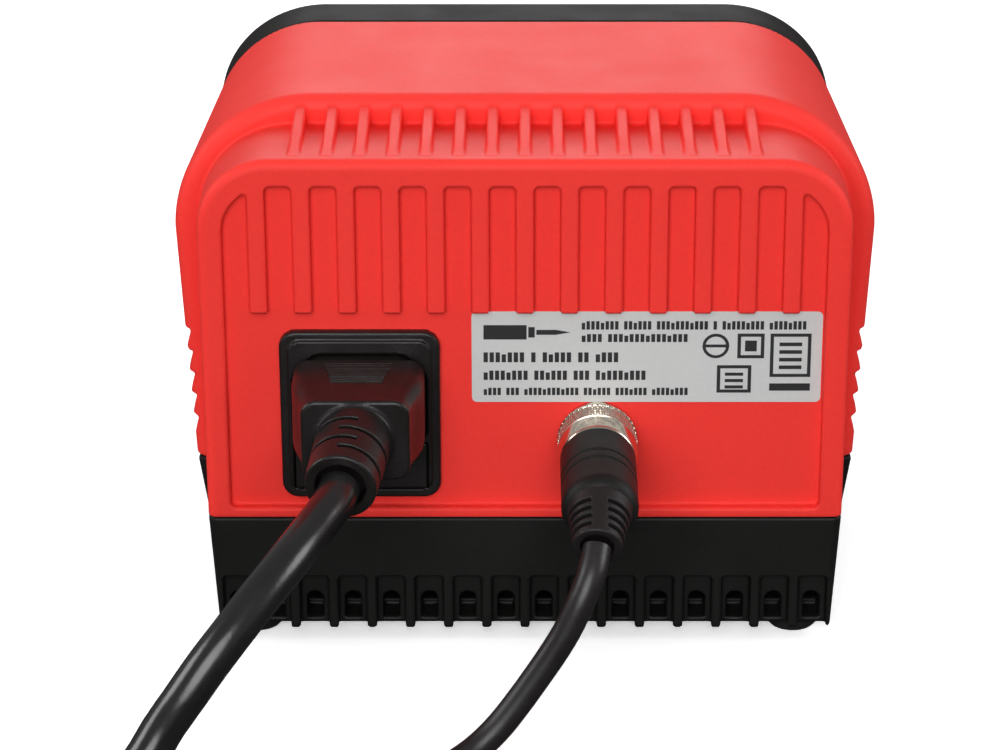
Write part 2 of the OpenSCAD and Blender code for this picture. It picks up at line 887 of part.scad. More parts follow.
// Route of the mains lead from the connector's strain relief to its coil
mains_route = [
    relief_end, [34, 90, 48.3], [36.5, 95.9, 47.1], [40.7, 105.2, 45.1], [45.8, 112.9, 41.4],
    [50, 117.6, 37.4], [54, 120.7, 33], [57.9, 122.9, 27.9], [61.7, 124, 22.5], [65, 126, 17.4],
    [69.5, 128.6, 12.4], [75.5, 132, 8], [83.1, 136.2, 5], [92, 139.8, 3.8], [104, 142, 3.7]
];
mains_coil_centre = [104, 190.4];
mains_coil_r = [33.6, 48.4];
mains_tail_route = [
    [104, 238.8, 11.1], [95, 238.3, 11.5], [86, 236.2, 12.5], [77, 232.2, 14.3], [68, 227.4, 16.3],
    [59, 223.9, 17.7], [51, 222.3, 18.4], [45.6, 222, 18.5]
];

// Route of the iron's lead from its plug to its coil
iron_route = [
    boot_end, [-11.9, 92.6, 36.4], [-10.2, 94.8, 32.4], [-7.4, 95.8, 26.2], [-4.6, 96.4, 21.4],
    [-1.7, 97, 17], [1.4, 97.8, 12.6], [5, 99, 8.2], [9, 101, 5], [13.6, 104.2, 3.2],
    [18.6, 109, 2.6], [22.6, 115.6, 2.6], [25, 124, 2.6], [25.8, 134, 2.6], [25.8, 146, 2.6],
    [25.8, 160, 2.6]
];
iron_coil_centre = [-8, 160];
iron_coil_r = [23.4, 33.8];
iron_tail_route = [
    [-8, 193.8, 7.8], [-18, 194.6, 7.2], [-28, 195.2, 5], [-38, 195.6, 3], [-49, 196.4, 2.6],
    [-61, 199.6, 2.6], [-71, 206.4, 2.6], [-78, 216, 2.6], [-80.6, 227.4, 2.8], [-78, 238.6, 3.8],
    [-71.6, 248, 4.6], [-62.4, 254.6, 6.4], [-54, 257.4, 8], [-45.9, 258, 8.6]
];

// A neat coil of two layers: radii of the inner and outer turns, and the cord's diameter
module coil(centre, radii, d) {
    r = d / 2;
    translate([centre[0], centre[1], 0])
        rotate_extrude($fn = 96)
            translate([(radii[0] + radii[1]) / 2, d])
                polygon(let (half = (radii[1] - radii[0]) / 2) concat(
                    arc(half, r, r, 0, 90, 4), arc(-half, r, r, 90, 180, 4),
                    arc(-half, -r, r, 180, 270, 4), arc(half, -r, r, 270, 360, 4)));
}

// A strap round a coil's bundle, at an angle round the coil
module coil_tie(centre, radii, d, angle, width) {
    r = d / 2;
    half = (radii[1] - radii[0]) / 2;
    mid = (radii[0] + radii[1]) / 2;
    skin = 1.2;
    translate([centre[0], centre[1], 0])
        rotate([0, 0, angle])
            translate([mid, width / 2, d])
                rotate([90, 0, 0])
                    linear_extrude(width)
                        difference() {
                            polygon(concat(
                                arc(half, r, r + skin, 0, 90, 6), arc(-half, r, r + skin, 90, 180, 6),
                                arc(-half, -r, r, 180, 270, 6), arc(half, -r, r, 270, 360, 6)));
                            polygon(concat(
                                arc(half, r, r + 0.15, 0, 90, 6), arc(-half, r, r + 0.15, 90, 180, 6),
                                [[-half - r - 0.15, -2 * r], [half + r + 0.15, -2 * r]]));
                        }
}

module mains_lead() {
    color([0.06, 0.06, 0.06])
        tube(mains_route, mains_d / 2);
}

module mains_coil() {
    color([0.06, 0.06, 0.06])
        coil(mains_coil_centre, mains_coil_r, mains_d);
}

module mains_tail() {
    color([0.06, 0.06, 0.06])
        tube(mains_tail_route, mains_d / 2);
}

module mains_tie() {
    color([0.12, 0.12, 0.13])
        coil_tie(mains_coil_centre, mains_coil_r, mains_d, 150, 8);
}

// The plug lies beside the coil, its pins towards -X
mains_plug_at = [46, 222, 18.5];

module on_plug() {
    translate(mains_plug_at)
        rotate([0, 0, 90])
            children();
}

module mains_plug() {
    color([0.07, 0.07, 0.08])
    on_plug()
        union() {
            rod_y(5, 20, 7.5);
            translate([0, 20 - eps, 0])
                rod_y(9, 8, 15);
            translate([0, 28 - 2 * eps, 0])
                rod_y(18.5, 17);
            translate([0, 24, 0])
                rod_y(15, 4.1, 18.5);
        }
}

module mains_plug_pins() {
    color([0.80, 0.80, 0.78])
    on_plug()
        for (side = [-9.5, 9.5])
            translate([side, 45 - 2 * eps, 0])
                rod_y(2.4, 19);
}

module iron_lead() {
    color([0.08, 0.07, 0.07])
        tube(iron_route, iron_lead_d / 2);
}

module iron_lead_coil() {
    color([0.08, 0.07, 0.07])
        coil(iron_coil_centre, iron_coil_r, iron_lead_d);
}

module iron_lead_tail() {
    color([0.08, 0.07, 0.07])
        tube(iron_tail_route, iron_lead_d / 2);
}

module iron_lead_tie() {
    color([0.12, 0.12, 0.13])
        coil_tie(iron_coil_centre, iron_coil_r, iron_lead_d, 230, 7);
}

// ---------------------------------------------------------------- soldering iron

// The iron lies along +X, on its guard and on the end of its handle, so it leans back a little.
// Its axis passes through the middle of the guard. Then come the places where its parts meet.
iron_guard = [76, 258, 12.06];
iron_lean = 1.6;
boot_start_x = -46;
handle_start_x = -26;
grip_start_x = 26;
grip_end_x = 78;
collar_end_x = 92;
barrel_end_x = 124;
tip_end_x = 142;

module on_iron(x) {
    translate(iron_guard)
        rotate([0, -iron_lean, 0])
            translate([x - iron_guard[0], 0, 0])
                children();
}

module iron_boot() {
    color([0.07, 0.07, 0.08])
        on_iron(boot_start_x)
            rod_x(3.7, handle_start_x - boot_start_x, 6);
}

module iron_handle() {
    spine_r = 6.4;
    color([0.10, 0.10, 0.11])
    union() {
        on_iron(handle_start_x)
            rod_x(8, 6, 9.2);
        on_iron(handle_start_x + 6 - eps)
            rod_x(9.2, grip_start_x - handle_start_x - 6 + eps);
        on_iron(grip_start_x - eps)
            rod_x(spine_r, grip_end_x - grip_start_x + eps);
    }
}

module iron_grip() {
    color([0.80, 0.15, 0.12])
    difference() {
        union() {
            on_iron(grip_start_x)
                rod_x(9.6, 10, 8.6);
            on_iron(grip_start_x + 10 - eps)
                rod_x(8.6, 30 + 2 * eps);
            on_iron(grip_start_x + 40)
                rod_x(8.6, 8, 12);
            on_iron(grip_start_x + 48 - eps)
                rod_x(12, 4);
        }
        on_iron(grip_start_x - 1)
            rod_x(6.4, 60);
    }
}

module iron_collar() {
    color([0.76, 0.76, 0.74])
    difference() {
        union() {
            on_iron(grip_end_x + 0.2)
                rod_x(6.8, 9.8);
            on_iron(grip_end_x + 10 - eps)
                rod_x(6.8, 4, 4.8);
        }
        on_iron(grip_end_x - 1)
            rod_x(3.56, 30);
    }
}

module iron_barrel() {
    color([0.70, 0.70, 0.72])
    difference() {
        on_iron(grip_end_x)
            rod_x(3.5, barrel_end_x - grip_end_x);
        on_iron(grip_end_x - 1)
            rod_x(2.8, 80);
    }
}

module iron_heater() {
    color([0.88, 0.86, 0.80])
        on_iron(grip_end_x)
            rod_x(1.9, barrel_end_x - grip_end_x - 8);
}

module iron_tip() {
    color([0.62, 0.50, 0.38])
    difference() {
        union() {
            on_iron(barrel_end_x - 22)
                rod_x(2.75, 26);
            on_iron(barrel_end_x + 4 - eps)
                rod_x(2.75, tip_end_x - barrel_end_x - 4, 0.4);
        }
        on_iron(barrel_end_x - 23)
            rod_x(1.95, 17);
    }
}

red_cover();
base_tray();
front_rim();
front_panel();
display_window();
display_module();
button_up();
button_down();
button_set();
power_rocker();
rocker_housing();
control_board();
button_switches();
power_board();
board_screws();
transformer();
bulk_capacitor();
output_capacitors();
line_choke();
heat_sink();
case_screws();
rubber_feet();
rating_plate();
inlet_body();
inlet_blades();
fuse_drawer();
fuse();
iron_socket();
socket_nut();
socket_pins();
coupling_ring();
iron_plug();
iron_plug_boot();
mains_connector();
connector_contacts();
mains_lead();
mains_coil();
mains_tail();
mains_tie();
mains_plug();
mains_plug_pins();
iron_lead();
iron_lead_coil();
iron_lead_tail();
iron_lead_tie();
iron_boot();
iron_handle();
iron_grip();
iron_collar();
iron_barrel();
iron_heater();
iron_tip();
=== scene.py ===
import json
import math

import bmesh
import bpy
import numpy as np
from mathutils import Matrix, Vector

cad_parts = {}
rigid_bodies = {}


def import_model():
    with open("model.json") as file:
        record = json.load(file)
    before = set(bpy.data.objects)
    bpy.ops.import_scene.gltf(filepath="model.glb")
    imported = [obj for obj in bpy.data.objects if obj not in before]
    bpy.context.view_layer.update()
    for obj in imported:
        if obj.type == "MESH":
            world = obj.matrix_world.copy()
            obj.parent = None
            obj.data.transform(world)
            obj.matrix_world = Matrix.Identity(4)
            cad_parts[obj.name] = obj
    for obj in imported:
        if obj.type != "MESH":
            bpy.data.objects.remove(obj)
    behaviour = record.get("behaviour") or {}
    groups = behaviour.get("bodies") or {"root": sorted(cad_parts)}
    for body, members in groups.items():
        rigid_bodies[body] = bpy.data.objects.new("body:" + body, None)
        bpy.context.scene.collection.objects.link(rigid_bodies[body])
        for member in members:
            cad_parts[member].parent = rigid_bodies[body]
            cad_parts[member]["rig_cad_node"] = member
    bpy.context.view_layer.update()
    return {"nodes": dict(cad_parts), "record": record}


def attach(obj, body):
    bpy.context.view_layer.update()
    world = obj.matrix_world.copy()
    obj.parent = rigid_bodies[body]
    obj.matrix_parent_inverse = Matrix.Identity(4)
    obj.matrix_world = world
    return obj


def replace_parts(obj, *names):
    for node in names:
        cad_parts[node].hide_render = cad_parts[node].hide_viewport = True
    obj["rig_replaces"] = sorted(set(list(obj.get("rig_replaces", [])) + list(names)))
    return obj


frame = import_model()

MM = 0.001


# ---------------------------------------------------------------- camera

def place_camera():
    """The camera looks at the back of the case from above."""
    target = Vector((0.0, 0.050, 0.0555))
    elevation = math.radians(24.0)
    away = Vector((0.0, math.cos(elevation), math.sin(elevation)))
    data = bpy.data.cameras.new("camera")
    data.lens = 129.0
    data.sensor_width = 36.0
    data.shift_x = -0.025
    data.clip_end = 50.0
    camera = bpy.data.objects.new("camera", data)
    camera.location = target + away * 0.665
    camera.rotation_euler = (-away).to_track_quat("-Z", "Y").to_euler()
    bpy.context.scene.collection.objects.link(camera)
    bpy.context.scene.camera = camera


place_camera()


# ---------------------------------------------------------------- cords

RELIEF_END = (32.8, 85, 49.2)
BOOT_END = (-12.8, 89, 39.3)
MAINS_D = 7.4
IRON_D = 5.2
MAINS_ROUTE = [
    RELIEF_END, (34, 90, 48.3), (36.5, 95.9, 47.1), (40.7, 105.2, 45.1), (45.8, 112.9, 41.4),
    (50, 117.6, 37.4), (54, 120.7, 33), (57.9, 122.9, 27.9), (61.7, 124, 22.5), (65, 126, 17.4),
    (69.5, 128.6, 12.4), (75.5, 132, 8), (83.1, 136.2, 5), (92, 139.8, 3.8), (104, 142, 3.7),
]
MAINS_COIL = (104, 190.4)
MAINS_TAIL = [
    (104, 238.8, 11.1), (95, 238.3, 11.5), (86, 236.2, 12.5), (77, 232.2, 14.3), (68, 227.4, 16.3),
    (59, 223.9, 17.7), (51, 222.3, 18.4), (45.6, 222, 18.5),
]
IRON_ROUTE = [
    BOOT_END, (-11.9, 92.6, 36.4), (-10.2, 94.8, 32.4), (-7.4, 95.8, 26.2), (-4.6, 96.4, 21.4),
    (-1.7, 97, 17), (1.4, 97.8, 12.6), (5, 99, 8.2), (9, 101, 5), (13.6, 104.2, 3.2),
    (18.6, 109, 2.6), (22.6, 115.6, 2.6), (25, 124, 2.6), (25.8, 134, 2.6), (25.8, 146, 2.6),
    (25.8, 160, 2.6),
]
IRON_COIL = (-8, 160)
IRON_TAIL = [
    (-8, 193.8, 7.8), (-18, 194.6, 7.2), (-28, 195.2, 5), (-38, 195.6, 3), (-49, 196.4, 2.6),
    (-61, 199.6, 2.6), (-71, 206.4, 2.6), (-78, 216, 2.6), (-80.6, 227.4, 2.8), (-78, 238.6, 3.8),
    (-71.6, 248, 4.6), (-62.4, 254.6, 6.4), (-54, 257.4, 8), (-45.9, 258, 8.6),
]


def smooth_line(points, step):
    """Points every step mm along a centripetal Catmull-Rom curve through the given points."""
    p = np.array(points, float)
    p = np.vstack([2 * p[0] - p[1], p, 2 * p[-1] - p[-2]])
    fine = []
    for i in range(1, len(p) - 2):
        a, b, c, d = p[i - 1], p[i], p[i + 1], p[i + 2]
        t = np.cumsum([0] + [math.sqrt(np.linalg.norm(v - u)) for u, v in ((a, b), (b, c), (c, d))])
        s = np.linspace(t[1], t[2], 24, endpoint=False)[:, None]
        ab = (t[1] - s) / (t[1] - t[0]) * a + (s - t[0]) / (t[1] - t[0]) * b
        bc = (t[2] - s) / (t[2] - t[1]) * b + (s - t[1]) / (t[2] - t[1]) * c
        cd = (t[3] - s) / (t[3] - t[2]) * c + (s - t[2]) / (t[3] - t[2]) * d
        abc = (t[2] - s) / (t[2] - t[0]) * ab + (s - t[0]) / (t[2] - t[0]) * bc
        bcd = (t[3] - s) / (t[3] - t[1]) * bc + (s - t[1]) / (t[3] - t[1]) * cd
        fine.append((t[2] - s) / (t[2] - t[1]) * abc + (s - t[1]) / (t[2] - t[1]) * bcd)
    return spaced(np.vstack(fine + [p[-2][None]]), step)


def spaced(line, step):
    """The same line with its points step mm apart."""
    run = np.concatenate([[0], np.cumsum(np.linalg.norm(np.diff(line, axis=0), axis=1))])
    at = np.linspace(0, run[-1], max(2, int(round(run[-1] / step)) + 1))
    return np.column_stack([np.interp(at, run, line[:, k]) for k in range(3)])


def ease(x):
    x = np.clip(x, 0, 1)
    return x * x * (3 - 2 * x)


def coil_line(centre, outer, pitch, start, end, inward, rise, outward):
    """A two-layer winding: in along the lower layer, up at the core, out along the upper one.

    start and end are angles in degrees. inward, rise and outward are the angles at which the
    cord begins to change its radius or its layer, which takes it 110 degrees each time.
    """
    angle = np.arange(start, end + 0.01, 4.0)
    radius = np.full(len(angle), float(outer))
    for a in inward:
        radius -= pitch * ease((angle - a) / 110)
    for a in outward:
        radius += pitch * ease((angle - a) / 110)
    height = pitch / 2 + pitch * ease((angle - rise) / 110)
    turn = np.radians(angle)
    return np.column_stack([centre[0] + radius * np.cos(turn), centre[1] + radius * np.sin(turn), height])


def cord_object(name, line, diameter, sides=20):
    """A round tube along the line, closed at both ends."""
    along_line = np.gradient(line, axis=0)
    along_line /= np.linalg.norm(along_line, axis=1, keepdims=True)
    side = np.cross(along_line, (0.0, 0.0, 1.0))
    side /= np.linalg.norm(side, axis=1, keepdims=True)
    up = np.cross(side, along_line)
    turn = np.linspace(0, 2 * math.pi, sides, endpoint=False)
    round_it = side[:, None] * np.cos(turn)[None, :, None] + up[:, None] * np.sin(turn)[None, :, None]
    points = line[:, None] + round_it * diameter / 2
    points = np.vstack([points.reshape(-1, 3), line[:1], line[-1:]]) * MM
    i, k = np.meshgrid(np.arange(len(line) - 1), np.arange(sides), indexing="ij")
    k2 = (k + 1) % sides
    quads = np.stack([i * sides + k, i * sides + k2, (i + 1) * sides + k2, (i + 1) * sides + k], -1)
    quads = quads.reshape(-1, 4)
    last = (len(line) - 1) * sides
    start = [(int(len(points) - 2), b + 1 if b + 1 < sides else 0, b) for b in range(sides)]
    end = [(int(len(points) - 1), last + b, last + (b + 1) % sides) for b in range(sides)]
    mesh = bpy.data.meshes.new(name)
    mesh.from_pydata(points.tolist(), [], quads.tolist() + start + end)
    piece = bpy.data.objects.new(name, mesh)
    bpy.context.scene.collection.objects.link(piece)
    outward_mesh(piece)
    return piece


def outward_mesh(piece, angle=38):
    """Merges points that meet, turns the faces outwards and keeps sharp edges sharp."""
    work = bmesh.new()
    work.from_mesh(piece.data)
    bmesh.ops.remove_doubles(work, verts=work.verts, dist=2e-6)
    bmesh.ops.dissolve_degenerate(work, edges=work.edges, dist=1e-7)
    bmesh.ops.recalc_face_normals(work, faces=work.faces)
    work.to_mesh(piece.data)
    work.free()
    piece.data.shade_smooth()
    piece.data.set_sharp_from_angle(angle=math.radians(angle))


mains_line = np.vstack([
    smooth_line(MAINS_ROUTE, 2.0)[:-1],
    coil_line(MAINS_COIL, 48.4, MAINS_D, -90, 1890, (210, 570), 870, (1170, 1530)),
    smooth_line(MAINS_TAIL, 2.0)[1:],
])
iron_line = np.vstack([
    smooth_line(IRON_ROUTE, 1.5)[:-1],
    coil_line(IRON_COIL, 33.8, IRON_D, 0, 1890, (300, 660), 960, (1260, 1620)),
    smooth_line(IRON_TAIL, 1.5)[1:],
])
mains_cord = cord_object("mains_cord", mains_line, MAINS_D)
iron_cord = cord_object("iron_cord", iron_line, IRON_D)
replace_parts(mains_cord, "mains_lead", "mains_coil", "mains_tail")
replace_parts(iron_cord, "iron_lead", "iron_lead_coil", "iron_lead_tail")
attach(mains_cord, "station")
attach(iron_cord, "station")


# ---------------------------------------------------------------- moulded shapes

# A shape is a function of x, y and z in millimetres, negative inside the shape.

def both(a, b, r=0.0):
    """What two shapes share; the new edge is rounded to radius r."""
    if r == 0:
        return np.maximum(a, b)
    return np.minimum(-r, np.maximum(a, b)) + np.hypot(np.maximum(a + r, 0), np.maximum(b + r, 0))


def join(a, b, r=0.0):
    """Two shapes together, with a fillet of radius r between them."""
    return -both(-a, -b, r)


def cut(a, b, r=0.0):
    """The first shape without the second; the new edge is rounded to radius r."""
    return both(a, -b, r)


def rect(u, v, w, h, r):
    """A rectangle w by h round the origin, with round corners."""
    u = np.abs(u) - w / 2 + r
    v = np.abs(v) - h / 2 + r
    return np.hypot(np.maximum(u, 0), np.maximum(v, 0)) + np.minimum(np.maximum(u, v), 0) - r


def upright(x, z, w0, w1, z0, z1, r):
    """An upright section w0 wide at z0, w1 wide at its round top corners, and open below."""
    half = w0 / 2 + (w1 - w0) / 2 * np.clip((z - z0) / (z1 - r - z0), 0, 1)
    u = np.abs(x) - half + r
    v = z - z1 + r
    return np.hypot(np.maximum(u, 0), np.maximum(v, 0)) + np.minimum(np.maximum(u, v), 0) - r


def repeat(x, pitch, count):
    """x measured from the nearest of count evenly spaced places."""
    first = (count - 1) / 2
    return x - (np.clip(np.round(x / pitch + first), 0, count - 1) - first) * pitch


def between(a, b, t):
    return a + (b - a) * np.clip(t, 0, 1)


def gradient(shape, p, h=0.02):
    steps = [(shape(*(p + d).T) - shape(*(p - d).T)) / (2 * h) for d in np.eye(3) * h]
    return np.column_stack(steps)


def surface_mesh(name, shape, low, high, cell, keep=1.0):
    """A mesh of the surface where the shape's value is zero, between two corners."""
    block = 12
    low = np.array(low, float)
    blocks = np.ceil((np.array(high) - low) / (cell * block)).astype(int)
    n = blocks * block + 1
    centres = np.stack(np.meshgrid(*[np.arange(k) for k in blocks], indexing="ij"), -1).reshape(-1, 3)
    middle = low + (centres + 0.5) * block * cell
    value = shape(*middle.T)
    near = np.abs(value) < cell * block * 0.87 * 1.3
    field = value.reshape(blocks).astype(np.float32)
    for axis in range(3):
        field = np.repeat(field, block, axis)
    field = np.pad(field, ((0, 1),) * 3, mode="edge")
    steps = np.stack(np.meshgrid(*[np.arange(block + 1)] * 3, indexing="ij"), -1).reshape(-1, 3)
    for batch in np.array_split(centres[near], max(1, int(near.sum() // 60))):
        at = (batch[:, None] * block + steps[None]).reshape(-1, 3)
        field[at[:, 0], at[:, 1], at[:, 2]] = shape(*(low + at * cell).T)
    inside = field < 0
    count = np.zeros(n - 1, np.int8)
    corners = [(i, j, k) for i in (0, 1) for j in (0, 1) for k in (0, 1)]
    for i, j, k in corners:
        count += inside[i:n[0] - 1 + i, j:n[1] - 1 + j, k:n[2] - 1 + k]
    cells = np.argwhere((count > 0) & (count < 8))
    total = np.zeros((len(cells), 3))
    crossings = np.zeros(len(cells))
    for a in corners:
        for axis in range(3):
            if a[axis]:
                continue
            b = np.array(a)
            b[axis] = 1
            fa = field[tuple((cells + a).T)]
            fb = field[tuple((cells + b).T)]
            hit = (fa < 0) != (fb < 0)
            t = fa[hit] / (fa[hit] - fb[hit])
            total[hit] += np.array(a) + (b - a) * t[:, None]
            crossings[hit] += 1
    p = low + (cells + total / crossings[:, None]) * cell
    for _ in range(4):
        g = gradient(shape, p)
        move = shape(*p.T)[:, None] * g / np.maximum((g * g).sum(1), 0.3)[:, None]
        size = np.linalg.norm(move, axis=1, keepdims=True)
        p = p - move * np.minimum(1, 0.5 * cell / np.maximum(size, 1e-9))
    number = np.full(n - 1, -1, np.int32)
    number[tuple(cells.T)] = np.arange(len(cells))
    quads = []
    for axis in range(3):
        one = np.eye(3, dtype=int)[axis]
        u, v = np.eye(3, dtype=int)[(axis + 1) % 3], np.eye(3, dtype=int)[(axis + 2) % 3]
        first = inside[tuple(slice(0, n[k] - one[k]) for k in range(3))]
        second = inside[tuple(slice(one[k], n[k]) for k in range(3))]
        at = np.argwhere(first != second)
        for side in ((axis + 1) % 3, (axis + 2) % 3):
            at = at[(at[:, side] > 0) & (at[:, side] < n[side] - 1)]
        quad = np.column_stack([number[tuple((at - d).T)] for d in (u + v, v, 0 * u, u)])
        flip = ~inside[tuple(at.T)]
        quad[flip] = quad[flip][:, ::-1]
        quads.append(quad)
    return fill_object(name, p * MM, np.vstack(quads), shape, keep)


def fill_object(name, points, quads, shape=None, keep=1.0):
    """An object with a smooth mesh; its normals come from the shape, when there is one."""
    mesh = bpy.data.meshes.new(name)
    mesh.vertices.add(len(points))
    mesh.vertices.foreach_set("co", np.ascontiguousarray(points, np.float32).ravel())
    mesh.loops.add(quads.size)
    mesh.loops.foreach_set("vertex_index", np.ascontiguousarray(quads, np.int32).ravel())
    mesh.polygons.add(len(quads))
    mesh.polygons.foreach_set("loop_start", np.arange(0, quads.size, quads.shape[1], dtype=np.int32))
    mesh.update(calc_edges=True)
    mesh.validate()
    piece = bpy.data.objects.new(name, mesh)
    bpy.context.scene.collection.objects.link(piece)
    if keep < 1:
        thin = piece.modifiers.new("thin", "DECIMATE")
        thin.ratio = keep
        thinned = bpy.data.meshes.new_from_object(piece.evaluated_get(bpy.context.evaluated_depsgraph_get()))
        piece.modifiers.clear()
        piece.data = thinned
        thinned.name = name
        bpy.data.meshes.remove(mesh)
        mesh = thinned
    mesh.shade_smooth()
    if shape:
        at = np.empty(len(mesh.vertices) * 3, np.float32)
        mesh.vertices.foreach_get("co", at)
        g = gradient(shape, at.reshape(-1, 3).astype(float) / MM)
        g /= np.maximum(np.linalg.norm(g, axis=1, keepdims=True), 1e-9)
        mesh.normals_split_custom_set_from_vertices(g)
    return piece


# ---------------------------------------------------------------- case

# All in millimetres. The back face of the case, the step behind its wide part, the floor of the
# recess in the back, and the seam with the front rim
BACK_Y, NECK_Y, RECESS_Y, RIM_Y = 50.0, 23.0, 48.0, -22.0
SEAM_Z, TOP_Z, WALL, UNDERSIDE_Z = 25.9, 100.5, 2.4, 2.3
TOP_RIB_PITCH, BACK_RIB_PITCH, VENT_PITCH, GRIP_PITCH = 6.02, 8.18, 7.31, 4.6
RIB_FOOT_Z = 67.7
# How deep the pockets of the base's back are, and what carries its widths at the seam up to z 60
POCKET = 2.5
BASE_FLARE = 57.7 / 23.6
# Middles of the inlet and of the round socket, as (x, z)
INLET = (30.7, 47.1)
INLET_HOLE = (27.4, 30.8)
SOCKET = (-13.5, 42.1)
RIM_FOOT = (-50.0, 4.9)
SLANT = math.atan(15.0 / (TOP_Z - RIM_FOOT[1]))
SLOPE_LENGTH = (TOP_Z - RIM_FOOT[1]) / math.cos(SLANT)
SCREWS = [(-50, 14), (50, 14), (-48, -15), (48, -15)]


def wide_part(x, y, z):
    t = (y - RIM_Y) / (NECK_Y - 4 - RIM_Y)
    side = upright(x, z, between(119.4, 128.6, t), between(123.8, 133.6, t), SEAM_Z, TOP_Z,
                   between(21.5, 27.0, t))
    return both(side, y - NECK_Y, 2.8)


def narrow_part(x, y, z):
    t = (y - 17.0) / 31.2
    side = upright(x, z, between(122.6, 119.8, t), between(124.0, 120.2, t), SEAM_Z,
                   between(94.4, 97.7, t), between(18.5, 13.7, t))
    return both(both(side, y - BACK_Y, 1.8), 15 - y)


def grip_grooves(x, y, z):
    side = upright(x, z, between(119.4, 128.6, (y - RIM_Y) / 41), between(123.8, 133.6, (y - RIM_Y) / 41),
                   SEAM_Z, TOP_Z, 24.0)
    level = z - 52.8 + GRIP_PITCH * np.clip(np.round((50.7 - z) / GRIP_PITCH), 0, 4)
    tooth = -(side + 1.2 + 1.2 * level / 3.9)
    return both(both(np.maximum(level, -3.9 - level), tooth), -13 - y)


def red_cover_shape(x, y, z):
    wide = cut(wide_part(x, y, z), grip_grooves(x, y, z), 0.3)
    body = join(wide, narrow_part(x, y, z), 0.5)
    rib = both(np.abs(repeat(x, TOP_RIB_PITCH, 15)) - 1.05, z - 98.7 + 0.045 * (y - 22), 0.4)
    rib = both(both(rib, 20 - y), y - 46.9, 0.3)
    body = join(body, both(rib, 90 - z), 0.5)
    opening = both(upright(x, z, 111, 111, 27.9, 92.6, 9), 27.9 - z, 1.2)
    slot = both(np.abs(repeat(x, BACK_RIB_PITCH, 13)) - 1.62, RIB_FOOT_Z - z, 0.3)
    body = cut(body, both(cut(opening, slot, 1.0), RECESS_Y - y, 0.45), 0.45)
    hollow = join(wide_part(x, y, z), narrow_part(x, y, z)) + WALL
    body = cut(body, both(hollow, y - RECESS_Y + WALL))
    body = cut(body, both(rect(x - INLET[0], z - INLET[1], *INLET_HOLE, 0.5), 40 - y))
    body = cut(body, both(np.hypot(x - SOCKET[0], z - SOCKET[1]) - 6.1, 40 - y))
    for sx, sy in SCREWS:
        boss = both(np.hypot(x - sx, y - sy) - 3.6, z - 95.5)
        body = join(body, cut(boss, both(np.hypot(x - sx, y - sy) - 1.5, z - 25.9)))
    return both(both(body, SEAM_Z + 0.06 - z, 0.35), RIM_Y + 0.05 - y, 0.35)


def base_shape(x, y, z):
    t = (y - RIM_Y) / 45
    foot = between(115, 121, t)
    wide = upright(x, z, foot, foot + BASE_FLARE * between(4.2, 7.2, t), UNDERSIDE_Z, 60, 1)
    wide = both(wide, y - NECK_Y, 1.2)
    t = (y - 17) / 33
    foot = between(119, 116.8, t)
    narrow = upright(x, z, foot, foot + BASE_FLARE * between(3.4, 2.8, t), UNDERSIDE_Z, 60, 1)
    narrow = both(both(narrow, y - BACK_Y + 0.1, 1.6), 15 - y)
    shell = join(wide, narrow, 0.4)
    inner = both(shell + WALL, y - BACK_Y + POCKET + WALL)
    body = both(shell, RIM_Y - y)
    body = cut(body, both(both(inner, RIM_Y + WALL - y), UNDERSIDE_Z + WALL - z, 1))
    u = repeat(x, VENT_PITCH, 16)
    pocket = both(both(np.abs(u) - 2.72, z - 13.4, 0.9), BACK_Y - POCKET - y, 0.5)
    arch = np.where(z < 7.475, np.abs(u) - 1.525, np.hypot(u, z - 7.475) - 1.525)
    body = cut(body, pocket, 0.35)
    body = cut(body, both(both(arch, 42 - y), 3.5 - z, 0.3), 0.3)
    tongue = both(both(rect(x, y + 30, 104, 28, 2), z - 4.7), UNDERSIDE_Z - z, 0.5)
    body = join(body, both(tongue, y + 20))
    for sx, sy in SCREWS:
        away = np.hypot(x - sx, y - sy)
        body = join(body, both(both(away - 4.6, z - 13.9), 3 - z))
        body = cut(cut(body, both(away - 3.1, z - 5.3)), away - 1.7)
    return both(both(body, z - SEAM_Z + 0.06, 0.35), UNDERSIDE_Z - z, 0.7)


def front_plane(y, z):
    """Depth behind the sloping front, and the distance up it."""
    c, s = math.cos(SLANT), math.sin(SLANT)
    return (y - RIM_FOOT[0]) * c - (z - RIM_FOOT[1]) * s, (y - RIM_FOOT[0]) * s + (z - RIM_FOOT[1]) * c


def full_section(x, z, w0, w1, z0, z1, r0, r1):
    """An upright section that is closed below too."""
    top = upright(x, z, w0, w1, z0, z1, r1)
    return both(top, z0 - z, r0)


def rim_shape(x, y, z):
    depth, v = front_plane(y, z)
    outer = full_section(x, z, 119.2, 123.8, 4.9, TOP_Z, 9, 22)
    body = both(both(outer, -depth, 2.6), y - RIM_Y + 0.05, 0.35)
    window = full_section(x, v, 109.8, 113.8, 5, SLOPE_LENGTH - 5, 6, 17)
    body = cut(body, both(window, depth - 4.9), 0.9)
    return cut(body, outer + 7.2)


cover = surface_mesh("cover_shell", red_cover_shape, (-68.5, -23.5, 24.5), (68.5, 51.5, 102), 0.5, 0.3)
base = surface_mesh("base_shell", base_shape, (-66, -46, 1), (66, 51.5, 27), 0.5, 0.3)
rim = surface_mesh("front_rim_shell", rim_shape, (-63.5, -52, 3), (63.5, -20.5, 102), 0.6, 0.3)
for piece, node in ((cover, "red_cover"), (base, "base_tray"), (rim, "front_rim")):
    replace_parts(piece, node)
    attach(piece, "station")


# ---------------------------------------------------------------- mains inlet and connector

OPENING_Z = 51.2
DRAWER_Z = 36.9


